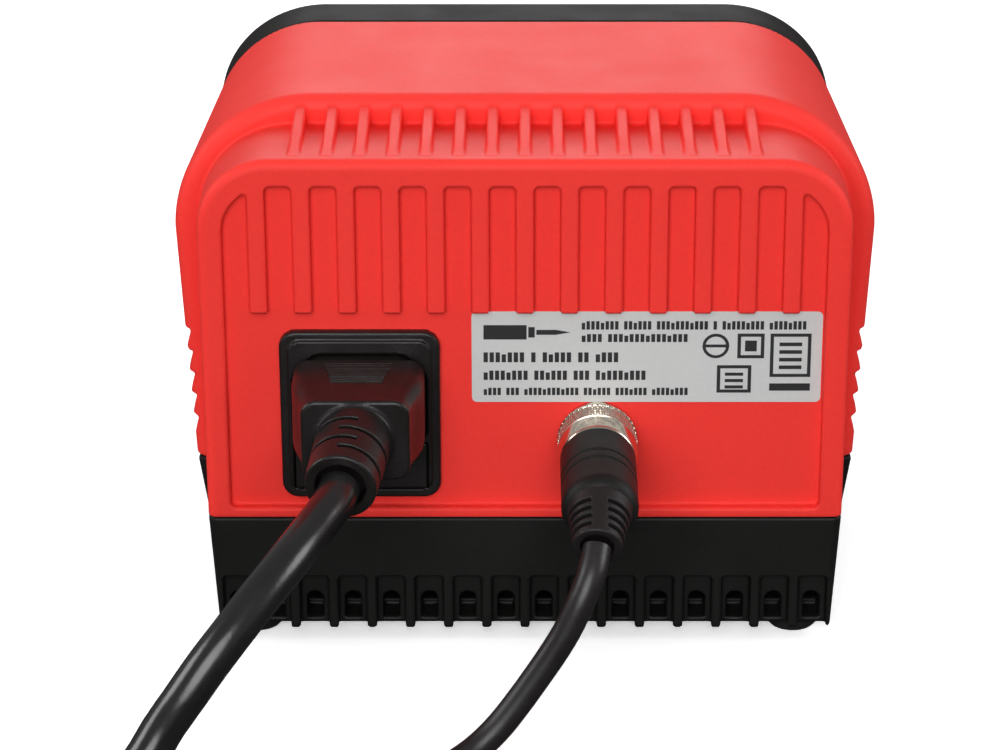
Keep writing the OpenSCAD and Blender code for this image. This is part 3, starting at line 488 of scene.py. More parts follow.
def keyed(u, v, w, h, r, corner):
    """A rectangle whose two upper corners are cut off at 45 degrees."""
    return both(rect(u, v, w, h, r), (np.abs(u) + v - corner) * 0.7071, 1.0)


def inlet_shape(x, y, z):
    u = x - INLET[0]
    w = z - INLET[1]
    plate = both(both(rect(u, w, 29.8, 33.8, 3.2), y - 49.9, 0.5), 48.02 - y)
    face = both(rect(u, w, 26.6, 30.6, 2.4), y - 50.4, 0.3)
    body = join(plate, both(face, 48.02 - y), 0.2)
    block = both(both(rect(u, w, 26.8, 30.2, 1), y - 48.2), 22 - y, 0.5)
    body = join(body, block)
    body = cut(body, both(keyed(u, z - OPENING_Z, 24.9, 17.1, 1.5, 17.0), 34 - y, 0.4), 0.35)
    return cut(body, both(rect(u, z - DRAWER_Z, 25.1, 9.6, 0.4), 27 - y), 0.2)


def drawer_shape(x, y, z):
    u = x - INLET[0]
    face = both(rect(u, z - DRAWER_Z, 24.7, 9.2, 0.5), y - 50.32, 0.3)
    notch = both(rect(u, z - DRAWER_Z + 3.4, 7, 2.2, 0.8), 49.5 - y, 0.4)
    return both(cut(face, notch, 0.2), 27.6 - y, 0.4)


def along(p, a, b):
    """How far p lies along the line from a to b, and its distance from the line."""
    d = np.array(b, float) - np.array(a, float)
    size = np.linalg.norm(d)
    d /= size
    v = [p[i] - a[i] for i in range(3)]
    s = v[0] * d[0] + v[1] * d[1] + v[2] * d[2]
    away = np.sqrt(sum((v[i] - s * d[i]) ** 2 for i in range(3)))
    return s, away, size


def connector_shape(x, y, z):
    u, v = x - INLET[0], z - OPENING_Z
    nose = both(both(keyed(u, v, 24.1, 16.4, 1.4, 16.4), y - 52.6), 34.6 - y, 0.6)
    t = ease((y - 57.5) / 11.5)
    w, h = 24.3 - 4.5 * t, 16.5 - 0.7 * t
    body = rect(u, v, w, h, 2.9)
    body = both(both(body, y - 70, 0.7), 51.6 - y, 0.8)
    body = join(nose, body, 0.3)
    pad = both(np.abs(u) - (6.3 - 0.17 * (y - 53)), np.abs(y - 57.8) - 4.6)
    ridge = 0.16 * np.cos((y - 57.8) * 2 * math.pi / 0.72)
    body = np.where((pad < 0) & (v > 0), body * 0.8 - ridge * 0.8, body)
    s, away, size = along((x, y, z), (31, 70, 51.2), RELIEF_END)
    neck = both(both(away - 7 + 0.5 * s / size, s - size + 0.05, 0.5), -3 - s)
    body = join(body, neck, 0.8)
    for place, side in ((2.8, 1), (5.7, -1), (8.6, 1), (11.5, -1)):
        slit = both(both(np.abs(s - place) - 0.45, 5.0 - away), -side * (x - 31.6) - 1.6)
        body = cut(body, slit, 0.2)
    hole = both(away - 4.5, size - 4 - s)
    return cut(body, hole, 0.4)


# ---------------------------------------------------------------- iron plug

def plug_shape(x, y, z):
    away = np.hypot(x - SOCKET[0], z - SOCKET[1])
    body = both(both(away - 7, y - 81.6, 3.2), 59.35 - y, 0.3)
    for place in (68.35, 71.55):
        body = cut(body, both(np.abs(y - place) - 0.36, 6.55 - away), 0.12)
    neck = both(both(away - 5.8, y - 62), 56.4 - y)
    return join(body, neck)


def boot_shape(x, y, z):
    s, away, size = along((x, y, z), (SOCKET[0], 79.4, 42.4), BOOT_END)
    t = s / size
    body = both(both(away - 6.1 + 1.75 * t, s - size + 0.05, 0.35), 0.5 - s)
    for place in (3.2, 4.9, 6.6, 8.3):
        slit = both(both(np.abs(s - place) - 0.4, 3.9 - 0.7 * t - away), 1.5 - np.abs(x + 13.3))
        body = cut(body, slit, 0.18)
    return cut(body, both(away - 3.0, size - 2.5 - s), 0.25)


def lathe(name, profile, place, sides=64, relief=None):
    """A turned piece: profile is a closed line of (along, radius), place puts it in the frame.

    relief(turn, along) gives how far the surface lies below its radius.
    """
    profile = np.array(profile, float)
    turn = np.linspace(0, 2 * math.pi, sides, endpoint=False)
    a = np.repeat(profile[:, 0][:, None], sides, 1)
    r = np.repeat(profile[:, 1][:, None], sides, 1)
    if relief:
        r = r - relief(turn[None, :], a)
    p = np.stack([a, r * np.cos(turn), r * np.sin(turn)], -1).reshape(-1, 3)
    p = p @ np.array(place.to_3x3()).T + np.array(place.translation)
    rows = np.arange(len(profile))
    i, k = np.meshgrid(rows, np.arange(sides), indexing="ij")
    i2, k2 = (i + 1) % len(profile), (k + 1) % sides
    quads = np.stack([i * sides + k, i * sides + k2, i2 * sides + k2, i2 * sides + k], -1).reshape(-1, 4)
    piece = fill_object(name, p * MM, quads)
    outward_mesh(piece)
    return piece


def rounded(profile, r, steps=4):
    """The profile's corners, each replaced by a short arc of about radius r."""
    profile = [np.array(p, float) for p in profile]
    out = []
    for i, p in enumerate(profile):
        a, b = profile[i - 1], profile[(i + 1) % len(profile)]
        da, db = a - p, b - p
        la, lb = np.linalg.norm(da), np.linalg.norm(db)
        cosine = float(np.dot(da, db) / max(la * lb, 1e-9))
        if p[1] < 0.01 or cosine < -0.995:
            out.append(p)
            continue
        q = min(r, 0.45 * la, 0.45 * lb)
        start, end = p + da / la * q, p + db / lb * q
        for t in np.linspace(0, 1, steps):
            out.append((1 - t) ** 2 * start + 2 * t * (1 - t) * p + t * t * end)
    return out


def knurl(turn, a):
    """Depth of a diamond knurl on the coupling ring's rear band."""
    u = turn * 46 / (2 * math.pi)
    v = (a - 49.5) / 1.02
    peak = np.minimum(np.abs((u + v) % 1 * 2 - 1), np.abs((u - v) % 1 * 2 - 1))
    band = ease((a - 50.0) / 0.15) * ease((54.7 - a) / 0.15)
    return 0.34 * np.minimum(1, 1.6 * (1 - peak) ** 1.2) * band


# The lathe's own axis is X; these lay it along +Y, and along the iron
ALONG_Y = Matrix.Rotation(math.radians(90), 4, "Z")
IRON_AXIS = (Matrix.Translation((76, 258, 12.06)) @ Matrix.Rotation(math.radians(-1.6), 4, "Y")
             @ Matrix.Translation((-76, 0, 0)))
PLUG_AXIS = Matrix.Translation((46, 222, 18.5)) @ Matrix.Rotation(math.radians(180), 4, "Z")

ring_profile = ([(49.5, 6.08), (49.5, 7.2), (49.62, 7.42), (49.85, 7.5)]
                + [(a, 7.5) for a in np.arange(49.95, 54.85, 0.11)]
                + [(54.9, 7.5), (55.0, 7.32), (55.25, 7.32), (55.4, 7.48), (56.2, 7.46), (57.6, 7.3),
                   (58.6, 7.12), (59.05, 6.98), (59.2, 6.8), (59.2, 6.08)])
ring_place = Matrix.Translation((SOCKET[0], 0, SOCKET[1])) @ ALONG_Y
ring = lathe("knurled_ring", ring_profile, ring_place, 460, knurl)
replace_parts(ring, "coupling_ring")
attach(ring, "ring")

station_pieces = [
    ("inlet_frame", inlet_shape, (13.5, 20.5, 29), (48, 51.5, 67), 0.4, 0.3, "inlet_body"),
    ("inlet_drawer", drawer_shape, (17, 26.5, 31), (44.5, 51.5, 43), 0.4, 0.3, "fuse_drawer"),
    ("mains_socket_plug", connector_shape, (17, 33, 41), (45, 87, 61), 0.27, 0.35, "mains_connector"),
    ("iron_plug_body", plug_shape, (-22, 55, 34), (-5, 83, 50), 0.27, 0.3, "iron_plug"),
    ("iron_plug_relief", boot_shape, (-21, 79, 33), (-5, 91, 50), 0.22, 0.4, "iron_plug_boot"),
]
made = {}
for name, shape, low, high, cell, keep, node in station_pieces:
    made[name] = surface_mesh(name, shape, low, high, cell, keep)
    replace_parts(made[name], node)
    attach(made[name], "station")

# ---------------------------------------------------------------- front controls

BUTTONS = [("button_down", -21.0), ("button_set", 0.0), ("button_up", 21.0)]


def button_shape(centre):
    def shape(x, y, z):
        depth, v = front_plane(y, z)
        u, w = x - centre, v - 35
        dish = 0.8 + 0.35 * np.exp(-(u * u + 1.6 * w * w) / 16)
        cap = both(both(rect(u, w, 13, 8.4, 2.6), dish - depth, 0.8), depth - 5.4)
        flange = both(rect(u, w, 15.4, 10.8, 3), np.abs(depth - 5.4) - 0.5, 0.2)
        stem = both(np.hypot(u, w) - 1.6, np.abs(depth - 6) - 1.03)
        return join(join(cap, flange), stem)
    return shape


for name, centre in BUTTONS:
    low = (centre - 8.5, -51, 31)
    high = (centre + 8.5, -35, 48)
    piece = surface_mesh(name + "_cap", button_shape(centre), low, high, 0.35, 0.4)
    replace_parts(piece, name)
    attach(piece, name + "_key")
    made[name] = piece


def rocker_shape(x, y, z):
    depth, v = front_plane(y, z)
    c, s = math.cos(math.radians(10)), math.sin(math.radians(10))
    a, b = (depth - 5.8) * c + (v - 20) * s, (v - 20) * c - (depth - 5.8) * s
    face = -4.25 - 1.3 * (b / 7.4) ** 2
    back = (a - 2.2 + 1.045 * (np.abs(b) - 3)) / 1.45
    body = both(both(rect(x - 38, b, 10.4, 14.8, 0.7), (face - a) * 0.95, 0.6), np.maximum(back, a - 2.2))
    pin = both(np.hypot(a, b) - 1.2, np.abs(x - 38) - 6.3)
    return join(body, pin)


rocker = surface_mesh("rocker_cap", rocker_shape, (31, -52, 13), (45, -34, 35), 0.35, 0.4)
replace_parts(rocker, "power_rocker")
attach(rocker, "rocker_cap")


def on_front(points):
    """Points (x, depth, distance up the slope) in the shared frame, in millimetres."""
    c, s = math.cos(SLANT), math.sin(SLANT)
    p = np.array(points, float)
    y = RIM_FOOT[0] + p[:, 1] * c + p[:, 2] * s
    z = RIM_FOOT[1] - p[:, 1] * s + p[:, 2] * c
    return np.column_stack([p[:, 0], y, z])


def on_front_at(depth):
    """Puts flat marks on the front, depth mm behind the rim's face."""
    return lambda p: on_front(np.column_stack([p[:, 0], np.full(len(p), depth), p[:, 1]]))


def flat_print(name, shapes, place):
    """Printed marks: flat outlines (lists of two-number points) that place() puts in the frame."""
    points, faces = [], []
    for outline in shapes:
        faces.append(list(range(len(points), len(points) + len(outline))))
        points.extend(outline)
    mesh = bpy.data.meshes.new(name)
    mesh.from_pydata([tuple(p) for p in place(np.array(points, float)) * MM], [], faces)
    piece = bpy.data.objects.new(name, mesh)
    bpy.context.scene.collection.objects.link(piece)
    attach(piece, "station")
    return piece


def bar(u, v, w, h):
    return [(u, v), (u + w, v), (u + w, v + h), (u, v + h)]


def frame_bars(u, v, w, h, t):
    return [bar(u, v, w, t), bar(u, v + h - t, w, t),
            bar(u, v + t, t, h - 2 * t), bar(u + w - t, v + t, t, h - 2 * t)]


def ring_bars(u, v, r, t, n=20):
    turn = [2 * math.pi * i / n for i in range(n + 1)]
    spot = lambda q, a: (u + q * math.cos(a), v + q * math.sin(a))
    return [[spot(r - t, a), spot(r, a), spot(r, b), spot(r - t, b)] for a, b in zip(turn, turn[1:])]


def digit(u, v, lit):
    """A seven-segment figure 6 wide and 11 high; lit names its segments."""
    t, w, h = 1.1, 6.0, 11.0
    places = {"a": (u + t, v + h - t, w - 2 * t, t),
              "g": (u + t, v + h / 2 - t / 2, w - 2 * t, t),
              "d": (u + t, v, w - 2 * t, t),
              "f": (u, v + h / 2 + 0.2, t, h / 2 - 0.4), "b": (u + w - t, v + h / 2 + 0.2, t, h / 2 - 0.4),
              "e": (u, v + 0.2, t, h / 2 - 0.4), "c": (u + w - t, v + 0.2, t, h / 2 - 0.4)}
    return [bar(*places[k]) for k in lit]


marks = []
for centre, up in ((-21, -1), (21, 1)):
    marks.append([(centre - 2, 42.4 - up * 1.1), (centre + 2, 42.4 - up * 1.1), (centre, 42.4 + up * 1.7)])
marks += ring_bars(0, 42.6, 1.7, 0.5) + frame_bars(-33, 49.2, 66, 33.6, 0.5)
front_marks = flat_print("front_marks", marks, on_front_at(2.38))
segments = digit(-22, 61, "abged") + digit(-12.5, 61, "afgcd") + digit(-3, 61, "abcdef")
segments += ring_bars(9, 70.4, 1.6, 0.7) + [bar(-24 + 4.2 * k, 54.5, 3.2, 2.4) for k in range(7)]
lcd_marks = flat_print("lcd_segments", segments, on_front_at(5.0))
lcd_face = flat_print("lcd_face", [bar(-28.5, 53.5, 57, 25)], on_front_at(5.06))

# ---------------------------------------------------------------- rating plate's print

# Distances from the plate's left end and from its top, as seen from behind
word_rows = [
    (20.4, 1.9, 1.7, (8, 6, 11, 1, 9, 8), 0.88),
    (20.4, 4.5, 1.6, (4, 15), 1.0),
    (2.2, 8.2, 2.0, (7, 1, 5, 2, 4), 1.12),
    (2.2, 11.9, 1.9, (8, 6, 3, 9), 1.06),
    (2.2, 15.4, 1.5, (4, 3, 12, 6, 7, 8), 0.86),
]
ink = []
for left, top, height, words, letter in word_rows:
    u = left
    for word in words:
        for k in range(word):
            tall = height if (k * 7 + word) % 4 else height * 0.8
            ink.append(bar(u, top + height - tall, letter * 0.72, tall))
            u += letter
        u += letter * 0.9
ink += [bar(2.2, 2.7, 8.0, 2.9), bar(10.5, 3.1, 1.2, 2.1), bar(12.0, 3.65, 3.6, 1.0)]
ink += [[(15.6, 3.65), (18.4, 4.15), (15.6, 4.65)]]
ink += ring_bars(45.3, 6.9, 2.5, 0.6) + [bar(43.4, 6.6, 3.8, 0.6)]
ink += frame_bars(49.3, 4.4, 5.0, 5.0, 0.65) + [bar(50.7, 5.8, 2.2, 2.2)]
ink += frame_bars(45.6, 10.8, 6.4, 5.6, 0.65) + [bar(47.1, 12.3 + 1.3 * k, 3.4, 0.65) for k in range(3)]
ink += frame_bars(55.4, 4.4, 7.6, 8.8, 0.65) + [bar(57.1, 6.2 + 1.55 * k, 4.2, 0.75) for k in range(4)]
ink += [bar(55.4, 14.5, 7.6, 1.5)]
PLATE_LEFT, PLATE_TOP, PLATE_FACE_Y = 9.9, 67.5, 48.215


def on_plate(p):
    return np.column_stack([PLATE_LEFT - p[:, 0], np.full(len(p), PLATE_FACE_Y), PLATE_TOP - p[:, 1]])


label_print = flat_print("plate_print", ink, on_plate)

# ---------------------------------------------------------------- mains plug

def mains_plug_shape(x, y, z):
    a, u, w = 46 - x, y - 222, z - 18.5
    away = np.hypot(u, w)
    body = both(both(away - 18.45, a - 45, 0.8), 28 - a, 2.2)
    waist = both(np.abs(u) - 30, np.abs(a - 33.5) - 6.5)
    grip = both(both(waist, 14.6 - np.abs(w), 0), 20 - a)
    body = cut(body, grip, 1.2)
    cone = both(both(away - between(9.0, 15.5, (a - 20) / 9), a - 32), 19.5 - a, 1.2)
    body = join(body, cone, 2.0)
    neck = both(both(away - between(5.0, 7.4, a / 20), a - 24), 0.05 - a, 0.4)
    body = join(body, neck, 1.5)
    for k in range(5):
        band = both(np.abs(a - 4 - 3 * k) - 0.55, 4.2 + 0.11 * (4 + 3 * k) - away)
        slit = both(band, 1.6 - np.abs(u if k % 2 else w))
        body = cut(body, slit, 0.2)
    well = both(np.hypot(np.abs(u) - 9.5, w) - 3.1, 44.2 - a)
    strip = both(both(np.abs(u) - 3.2, 17.4 - np.abs(w)), 31 - a)
    return cut(cut(body, well, 0.2), strip, 0.3)


mains_plug = surface_mesh("mains_plug_body", mains_plug_shape, (-0.5, 202, -1.5), (47.5, 242, 39), 0.6, 0.3)
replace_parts(mains_plug, "mains_plug")
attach(mains_plug, "station")
pin_profile = rounded([(43, 0), (43, 2.4), (62.0, 2.4), (63.9, 1.4), (63.9, 0)], 0.6)


def pin_sleeve(turn, a):
    """The pin is a little thicker where it's sleeved."""
    return np.where(a < 53.5, 0.0, 0.12) + 0 * turn


for k, side in enumerate((-9.5, 9.5)):
    place = PLUG_AXIS @ Matrix.Translation((0, side, 0))
    pin = lathe("mains_pin_%d" % (k + 1), pin_profile, place, 48, pin_sleeve)
    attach(pin, "station")
    made["pin%d" % k] = pin
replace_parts(made["pin0"], "mains_plug_pins")

# ---------------------------------------------------------------- soldering iron

def finger_waves(turn, a):
    """Long shallow flutes round the handle."""
    band = ease((a + 14) / 4) * ease((20 - a) / 4)
    return 0.45 * band * (0.5 + 0.5 * np.cos(turn * 12)) ** 2


def grip_rings(turn, a):
    """Rings across the soft grip."""
    band = ease((a - 36) / 3) * ease((62 - a) / 3)
    return 0.55 * band * (0.5 + 0.5 * np.cos(2 * math.pi * a / 3.25)) ** 3 + 0 * turn


def collar_flutes(turn, a):
    band = ease((a - 79) / 0.5) * ease((86 - a) / 0.5)
    return 0.3 * (0.5 + 0.5 * np.cos(turn * 36)) * band


def relief_slots(turn, a):
    """Slots of the iron's strain relief, staggered from row to row."""
    from_end = a + 46
    row = np.abs((from_end % 3.0) - 1.5) < 0.5
    return 0.75 * row * (np.abs(((turn / math.pi * 2 + (from_end // 3.0 % 2)) % 2) - 1) < 0.72)


handle_profile = rounded([(-26, 0), (-26, 7.4), (-24, 8.1), (-19.8, 9.15)]
                         + [(a, 9.2) for a in np.arange(-19, 25, 0.8)]
                         + [(25.2, 9.2), (26, 8.4), (26, 6.4), (77.9, 6.4), (77.9, 0)], 0.7)
grip_profile = rounded([(26.1, 6.42), (26.1, 9.4), (27.5, 9.6), (31, 9.3)]
                       + [(a, 8.6) for a in np.arange(35, 63, 0.4)]
                       + [(66, 8.6), (69.5, 9.9), (72.4, 11.4), (74, 12), (77, 12), (78, 11),
                          (78, 6.42)], 0.7)
collar_profile = rounded([(78.2, 3.56), (78.2, 6.4), (78.6, 6.8)]
                         + [(a, 6.8) for a in np.arange(79, 86, 0.25)]
                         + [(86.5, 6.8), (87, 6.3), (88, 6.3), (91.6, 5.0), (92, 4.6), (92, 3.56)], 0.25)
tube_profile = rounded([(78, 2.8), (78, 3.5), (84, 3.5), (94, 3.5), (104, 3.5), (110, 3.5), (118, 3.5),
                        (123.6, 3.5), (124, 3.2), (124, 2.8)], 0.3)
bit_profile = rounded([(102, 1.95), (102, 2.75), (118, 2.75), (127, 2.75), (128.4, 2.6), (140.4, 0.75),
                       (141.7, 0.5), (142, 0.3), (142, 0), (119, 0), (119, 1.95)], 0.35)
cord_relief_profile = rounded([(-46, 0), (-46, 3.4), (-45.6, 3.7)]
                              + [(a, 3.7 + 2.3 * (a + 46) / 20) for a in np.arange(-45, -26.4, 0.3)]
                              + [(-26, 6.0), (-26, 0)], 0.25)
iron_pieces = [
    ("iron_handle_body", handle_profile, finger_waves, 96, "iron_handle", "station"),
    ("iron_soft_grip", grip_profile, grip_rings, 72, "iron_grip", "station"),
    ("iron_collar_nut", collar_profile, collar_flutes, 288, "iron_collar", "collar"),
    ("iron_tube", tube_profile, None, 64, "iron_barrel", "station"),
    ("iron_bit", bit_profile, None, 64, "iron_tip", "station"),
    ("iron_cord_relief", cord_relief_profile, relief_slots, 72, "iron_boot", "station"),
]
for name, profile, relief, sides, node, body in iron_pieces:
    made[name] = lathe(name, profile, IRON_AXIS, sides, relief)
    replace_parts(made[name], node)
    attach(made[name], body)

# ---------------------------------------------------------------- materials

def finish(name, color, rough, grain=0.0, grain_scale=2400.0, tint=0.06, rough_range=0.08, metal=0.0,
           coat=0.0, sheen=0.0, specular=0.5, stretch=None):
    """A procedural finish: slow colour drift, uneven roughness, and a fine moulded or brushed grain."""
    matter = bpy.data.materials.new(name)
    matter.use_nodes = True
    tree = matter.node_tree
    shader = tree.nodes["Principled BSDF"]
    shader.inputs["Metallic"].default_value = metal
    shader.inputs["Specular IOR Level"].default_value = specular
    shader.inputs["Coat Weight"].default_value = coat
    shader.inputs["Coat Roughness"].default_value = 0.12
    shader.inputs["Sheen Weight"].default_value = sheen
    place = tree.nodes.new("ShaderNodeTexCoord")
    spread = tree.nodes.new("ShaderNodeMapping")
    spread.inputs["Scale"].default_value = stretch or (1, 1, 1)
    tree.links.new(place.outputs["Object"], spread.inputs["Vector"])

    def noise(scale, detail):
        node = tree.nodes.new("ShaderNodeTexNoise")
        node.inputs["Scale"].default_value = scale
        node.inputs["Detail"].default_value = detail
        tree.links.new(spread.outputs["Vector"], node.inputs["Vector"])
        return node

    def ramp(source, low, high):
        node = tree.nodes.new("ShaderNodeMapRange")
        node.inputs["From Min"].default_value = 0.3
        node.inputs["From Max"].default_value = 0.7
        node.inputs["To Min"].default_value = low
        node.inputs["To Max"].default_value = high
        tree.links.new(source, node.inputs["Value"])
        return node.outputs["Result"]

    drift = noise(28, 3)
    fleck = noise(grain_scale * 0.45, 2)
    both_noises = tree.nodes.new("ShaderNodeMath")
    both_noises.operation = "MULTIPLY_ADD"
    both_noises.inputs[1].default_value = 0.5
    tree.links.new(fleck.outputs["Fac"], both_noises.inputs[0])
    half = tree.nodes.new("ShaderNodeMath")
    half.operation = "MULTIPLY"
    half.inputs[1].default_value = 0.5
    tree.links.new(drift.outputs["Fac"], half.inputs[0])
    tree.links.new(half.outputs[0], both_noises.inputs[2])
    colors = tree.nodes.new("ShaderNodeValToRGB")
    colors.color_ramp.elements[0].position = 0.35
    colors.color_ramp.elements[1].position = 0.65
    colors.color_ramp.elements[0].color = [c * (1 - tint) for c in color] + [1]
    colors.color_ramp.elements[1].color = [min(1, c * (1 + tint)) for c in color] + [1]
    tree.links.new(both_noises.outputs[0], colors.inputs["Fac"])
    tree.links.new(colors.outputs["Color"], shader.inputs["Base Color"])
    uneven = ramp(noise(90, 4).outputs["Fac"], max(0.02, rough - rough_range), rough + rough_range)
    tree.links.new(uneven, shader.inputs["Roughness"])
    if grain:
        bump = tree.nodes.new("ShaderNodeBump")
        bump.inputs["Strength"].default_value = grain
        bump.inputs["Distance"].default_value = 0.0001
        tree.links.new(noise(grain_scale, 2).outputs["Fac"], bump.inputs["Height"])
        tree.links.new(bump.outputs["Normal"], shader.inputs["Normal"])
    return matter


RED = (0.86, 0.042, 0.034)
finishes = {
    "coral_plastic": finish("coral_satin", RED, 0.52, 0.25, 2600, 0.03, 0.04, specular=0.15),
    "black_plastic": finish("black_moulded", (0.0065, 0.0065, 0.006), 0.52, 0.35, 2400, 0.12, 0.06,
                            specular=0.22),
    "dark_grey_plastic": finish("charcoal_moulded", (0.016, 0.0145, 0.014), 0.55, 0.4, 2300, 0.10, 0.05,
                                specular=0.05),
    "grey_keys": finish("grey_keys", (0.30, 0.31, 0.32), 0.42, 0.2, 2600, 0.05, 0.05),
    "gloss_black_plastic": finish("black_vinyl", (0.0085, 0.0068, 0.0066), 0.40, 0.45, 2000, 0.15, 0.07,
                                  specular=0.34),
    "board_green": finish("board_green", (0.02, 0.13, 0.05), 0.30, 0.2, 900, 0.2, 0.08, coat=0.3),
    "winding_tape": finish("winding_tape", (0.62, 0.44, 0.07), 0.32, 0.1, 1500, 0.08, 0.06, coat=0.2),
    "winding_copper": finish("copper_wire", (0.72, 0.26, 0.10), 0.30, 0.6, 1400, 0.15, 0.08, metal=0.9),
    "capacitor_sleeve": finish("capacitor_sleeve", (0.02, 0.028, 0.12), 0.26, 0.1, 900, 0.1, 0.05, coat=0.4),
    "zinc_steel": finish("zinc_steel", (0.60, 0.60, 0.58), 0.32, 0.2, 1800, 0.08, 0.08, metal=1.0),
    "bare_steel": finish("drawn_steel", (0.55, 0.54, 0.53), 0.28, 0.3, 1500, 0.10, 0.08,
                         metal=1.0, stretch=(0.2, 1, 1)),
    "bare_aluminium": finish("extruded_aluminium", (0.70, 0.71, 0.73), 0.34, 0.3, 1600, 0.06, 0.08,
                             metal=1.0, stretch=(1, 1, 0.1)),
    "nickel": finish("nickel_plate", (0.64, 0.57, 0.47), 0.20, 0.12, 1600, 0.06, 0.07, metal=1.0),
    "gold_brass": finish("gold_plate", (0.83, 0.58, 0.22), 0.24, 0.1, 1600, 0.06, 0.06, metal=1.0),
    "silver_label": finish("silver_foil", (0.64, 0.645, 0.64), 0.42, 0.15, 3000, 0.03, 0.04,
                           metal=0.15, specular=0.5),
    "black_rubber": finish("black_rubber", (0.0095, 0.008, 0.0082), 0.52, 0.4, 1800, 0.12, 0.06,
                           specular=0.32),
    "coral_rubber": finish("coral_rubber", (0.72, 0.035, 0.02), 0.60, 0.35, 1900, 0.05, 0.05, sheen=0.1),
    "cord_black": finish("cord_vinyl", (0.010, 0.0095, 0.0095), 0.24, 0.2, 900, 0.12, 0.06, specular=0.5),
    "soft_cord": finish("cord_rubber", (0.014, 0.012, 0.012), 0.40, 0.35, 1300, 0.15, 0.08, specular=0.4),
    "white_ceramic": finish("fired_ceramic", (0.80, 0.77, 0.70), 0.45, 0.2, 1500, 0.04, 0.05),
    "iron_plate": finish("plated_tip", (0.34, 0.27, 0.22), 0.36, 0.35, 700, 0.25, 0.12, metal=0.9),
}


def tinted_window():
    matter = finish("tinted_window", (0.06, 0.08, 0.085), 0.08, 0.0, 900, 0.05, 0.03, specular=0.6)
    shader = matter.node_tree.nodes["Principled BSDF"]
    shader.inputs["Alpha"].default_value = 0.35
    return matter


finishes["tinted_window"] = tinted_window()
ink_finish = finish("print_ink", (0.016, 0.016, 0.018), 0.5, 0.1, 3000, 0.1, 0.05)
white_ink = finish("panel_ink", (0.62, 0.63, 0.63), 0.5, 0.1, 3000, 0.04, 0.05)
lcd_dark = finish("lcd_segments_dark", (0.02, 0.025, 0.022), 0.4, 0.0, 900, 0.05, 0.04)
lcd_green = finish("lcd_glass", (0.36, 0.42, 0.33), 0.22, 0.0, 900, 0.03, 0.04, coat=0.3)


def paint(piece, matter, slot=None):
    piece.data.materials.clear()
    piece.data.materials.append(matter)


slot_of = {row["node"]: row["material_slot"] for row in frame["record"]["subparts"]}
for node, piece in frame["nodes"].items():
    for held in piece.material_slots:
        held.material = finishes[slot_of[node]]
for piece in list(bpy.context.scene.objects):
    if "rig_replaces" in piece and "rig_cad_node" not in piece:
        name = slot_of[list(piece["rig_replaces"])[0]]
        paint(piece, finishes[name], name)
paint(made["pin1"], finishes["nickel"], "nickel")
paint(label_print, ink_finish)
paint(front_marks, white_ink)
paint(lcd_marks, lcd_dark)
paint(lcd_face, lcd_green)


# ---------------------------------------------------------------- floor and light

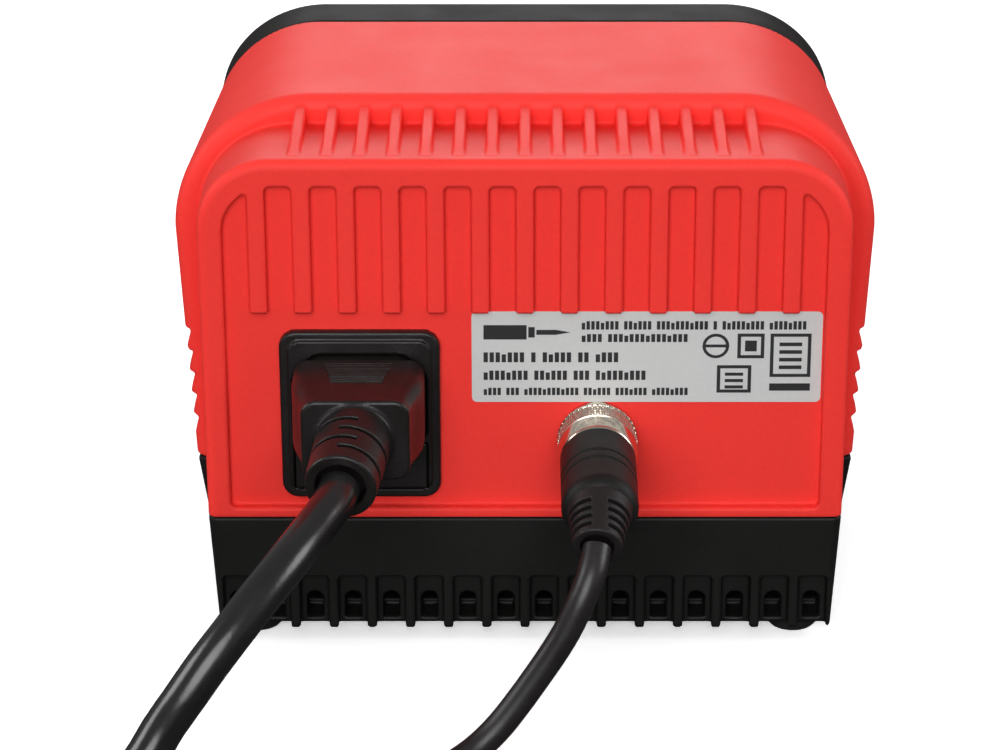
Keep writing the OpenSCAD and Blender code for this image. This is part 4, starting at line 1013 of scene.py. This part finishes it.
def studio():
    """A pale floor, a soft sky and four large soft lights. The sky is darker below, so no floor shines up."""
    world = bpy.data.worlds.new("studio")
    world.use_nodes = True
    tree = world.node_tree
    plain = tree.nodes["Background"]
    place = tree.nodes.new("ShaderNodeTexCoord")
    split = tree.nodes.new("ShaderNodeSeparateXYZ")
    shade = tree.nodes.new("ShaderNodeMapRange")
    shade.inputs["From Min"].default_value = -0.15
    shade.inputs["From Max"].default_value = 0.15
    shade.inputs["To Min"].default_value = 0.05
    shade.inputs["To Max"].default_value = 0.30
    tree.links.new(place.outputs["Generated"], split.inputs[0])
    tree.links.new(split.outputs["Z"], shade.inputs["Value"])
    tree.links.new(shade.outputs["Result"], plain.inputs["Strength"])
    plain.inputs["Color"].default_value = (1, 1, 1, 1)
    backdrop = tree.nodes.new("ShaderNodeBackground")
    backdrop.inputs["Color"].default_value = (1, 1, 1, 1)
    path = tree.nodes.new("ShaderNodeLightPath")
    mix = tree.nodes.new("ShaderNodeMixShader")
    tree.links.new(path.outputs["Is Camera Ray"], mix.inputs[0])
    tree.links.new(plain.outputs[0], mix.inputs[1])
    tree.links.new(backdrop.outputs[0], mix.inputs[2])
    tree.links.new(mix.outputs[0], tree.nodes["World Output"].inputs["Surface"])
    bpy.context.scene.world = world
    mesh = bpy.data.meshes.new("floor")
    half = 6.0
    corners = [(-half, -half, 0), (half, -half, 0), (half, half, 0), (-half, half, 0)]
    mesh.from_pydata(corners, [], [(0, 1, 2, 3)])
    floor = bpy.data.objects.new("floor", mesh)
    floor.location.z = -0.0002
    floor.visible_diffuse = False
    floor.visible_glossy = False
    bpy.context.scene.collection.objects.link(floor)
    matt = bpy.data.materials.new("floor_white")
    matt.use_nodes = True
    shader = matt.node_tree.nodes["Principled BSDF"]
    shader.inputs["Base Color"].default_value = (0.90, 0.90, 0.90, 1)
    shader.inputs["Roughness"].default_value = 0.9
    shader.inputs["Emission Color"].default_value = (1, 1, 1, 1)
    spot = matt.node_tree.nodes.new("ShaderNodeTexCoord")
    far = matt.node_tree.nodes.new("ShaderNodeVectorMath")
    far.operation = "LENGTH"
    glow = matt.node_tree.nodes.new("ShaderNodeMapRange")
    glow.inputs["From Min"].default_value = 0.4
    glow.inputs["From Max"].default_value = 1.4
    glow.inputs["To Min"].default_value = 0.45
    glow.inputs["To Max"].default_value = 1.1
    matt.node_tree.links.new(spot.outputs["Object"], far.inputs[0])
    matt.node_tree.links.new(far.outputs["Value"], glow.inputs["Value"])
    matt.node_tree.links.new(glow.outputs["Result"], shader.inputs["Emission Strength"])
    mesh.materials.append(matt)
    for name, where, size, power in [
        ("key_light", (0.1, 1.15, 0.55), 0.9, 12.6),
        ("left_light", (1.2, 0.05, 0.6), 0.7, 7.0),
        ("right_light", (-1.2, 0.05, 0.6), 0.7, 7.0),
        ("front_light", (0.0, -1.2, 0.7), 0.9, 6.0),
    ]:
        data = bpy.data.lights.new(name, "AREA")
        data.shape = "DISK"
        data.size = size
        data.energy = power
        lamp = bpy.data.objects.new(name, data)
        lamp.location = where
        lamp.rotation_euler = (Vector((0, 0.02, 0.05)) - Vector(where)).to_track_quat("-Z", "Y").to_euler()
        bpy.context.scene.collection.objects.link(lamp)
    bpy.context.scene.view_settings.view_transform = "Standard"


studio()
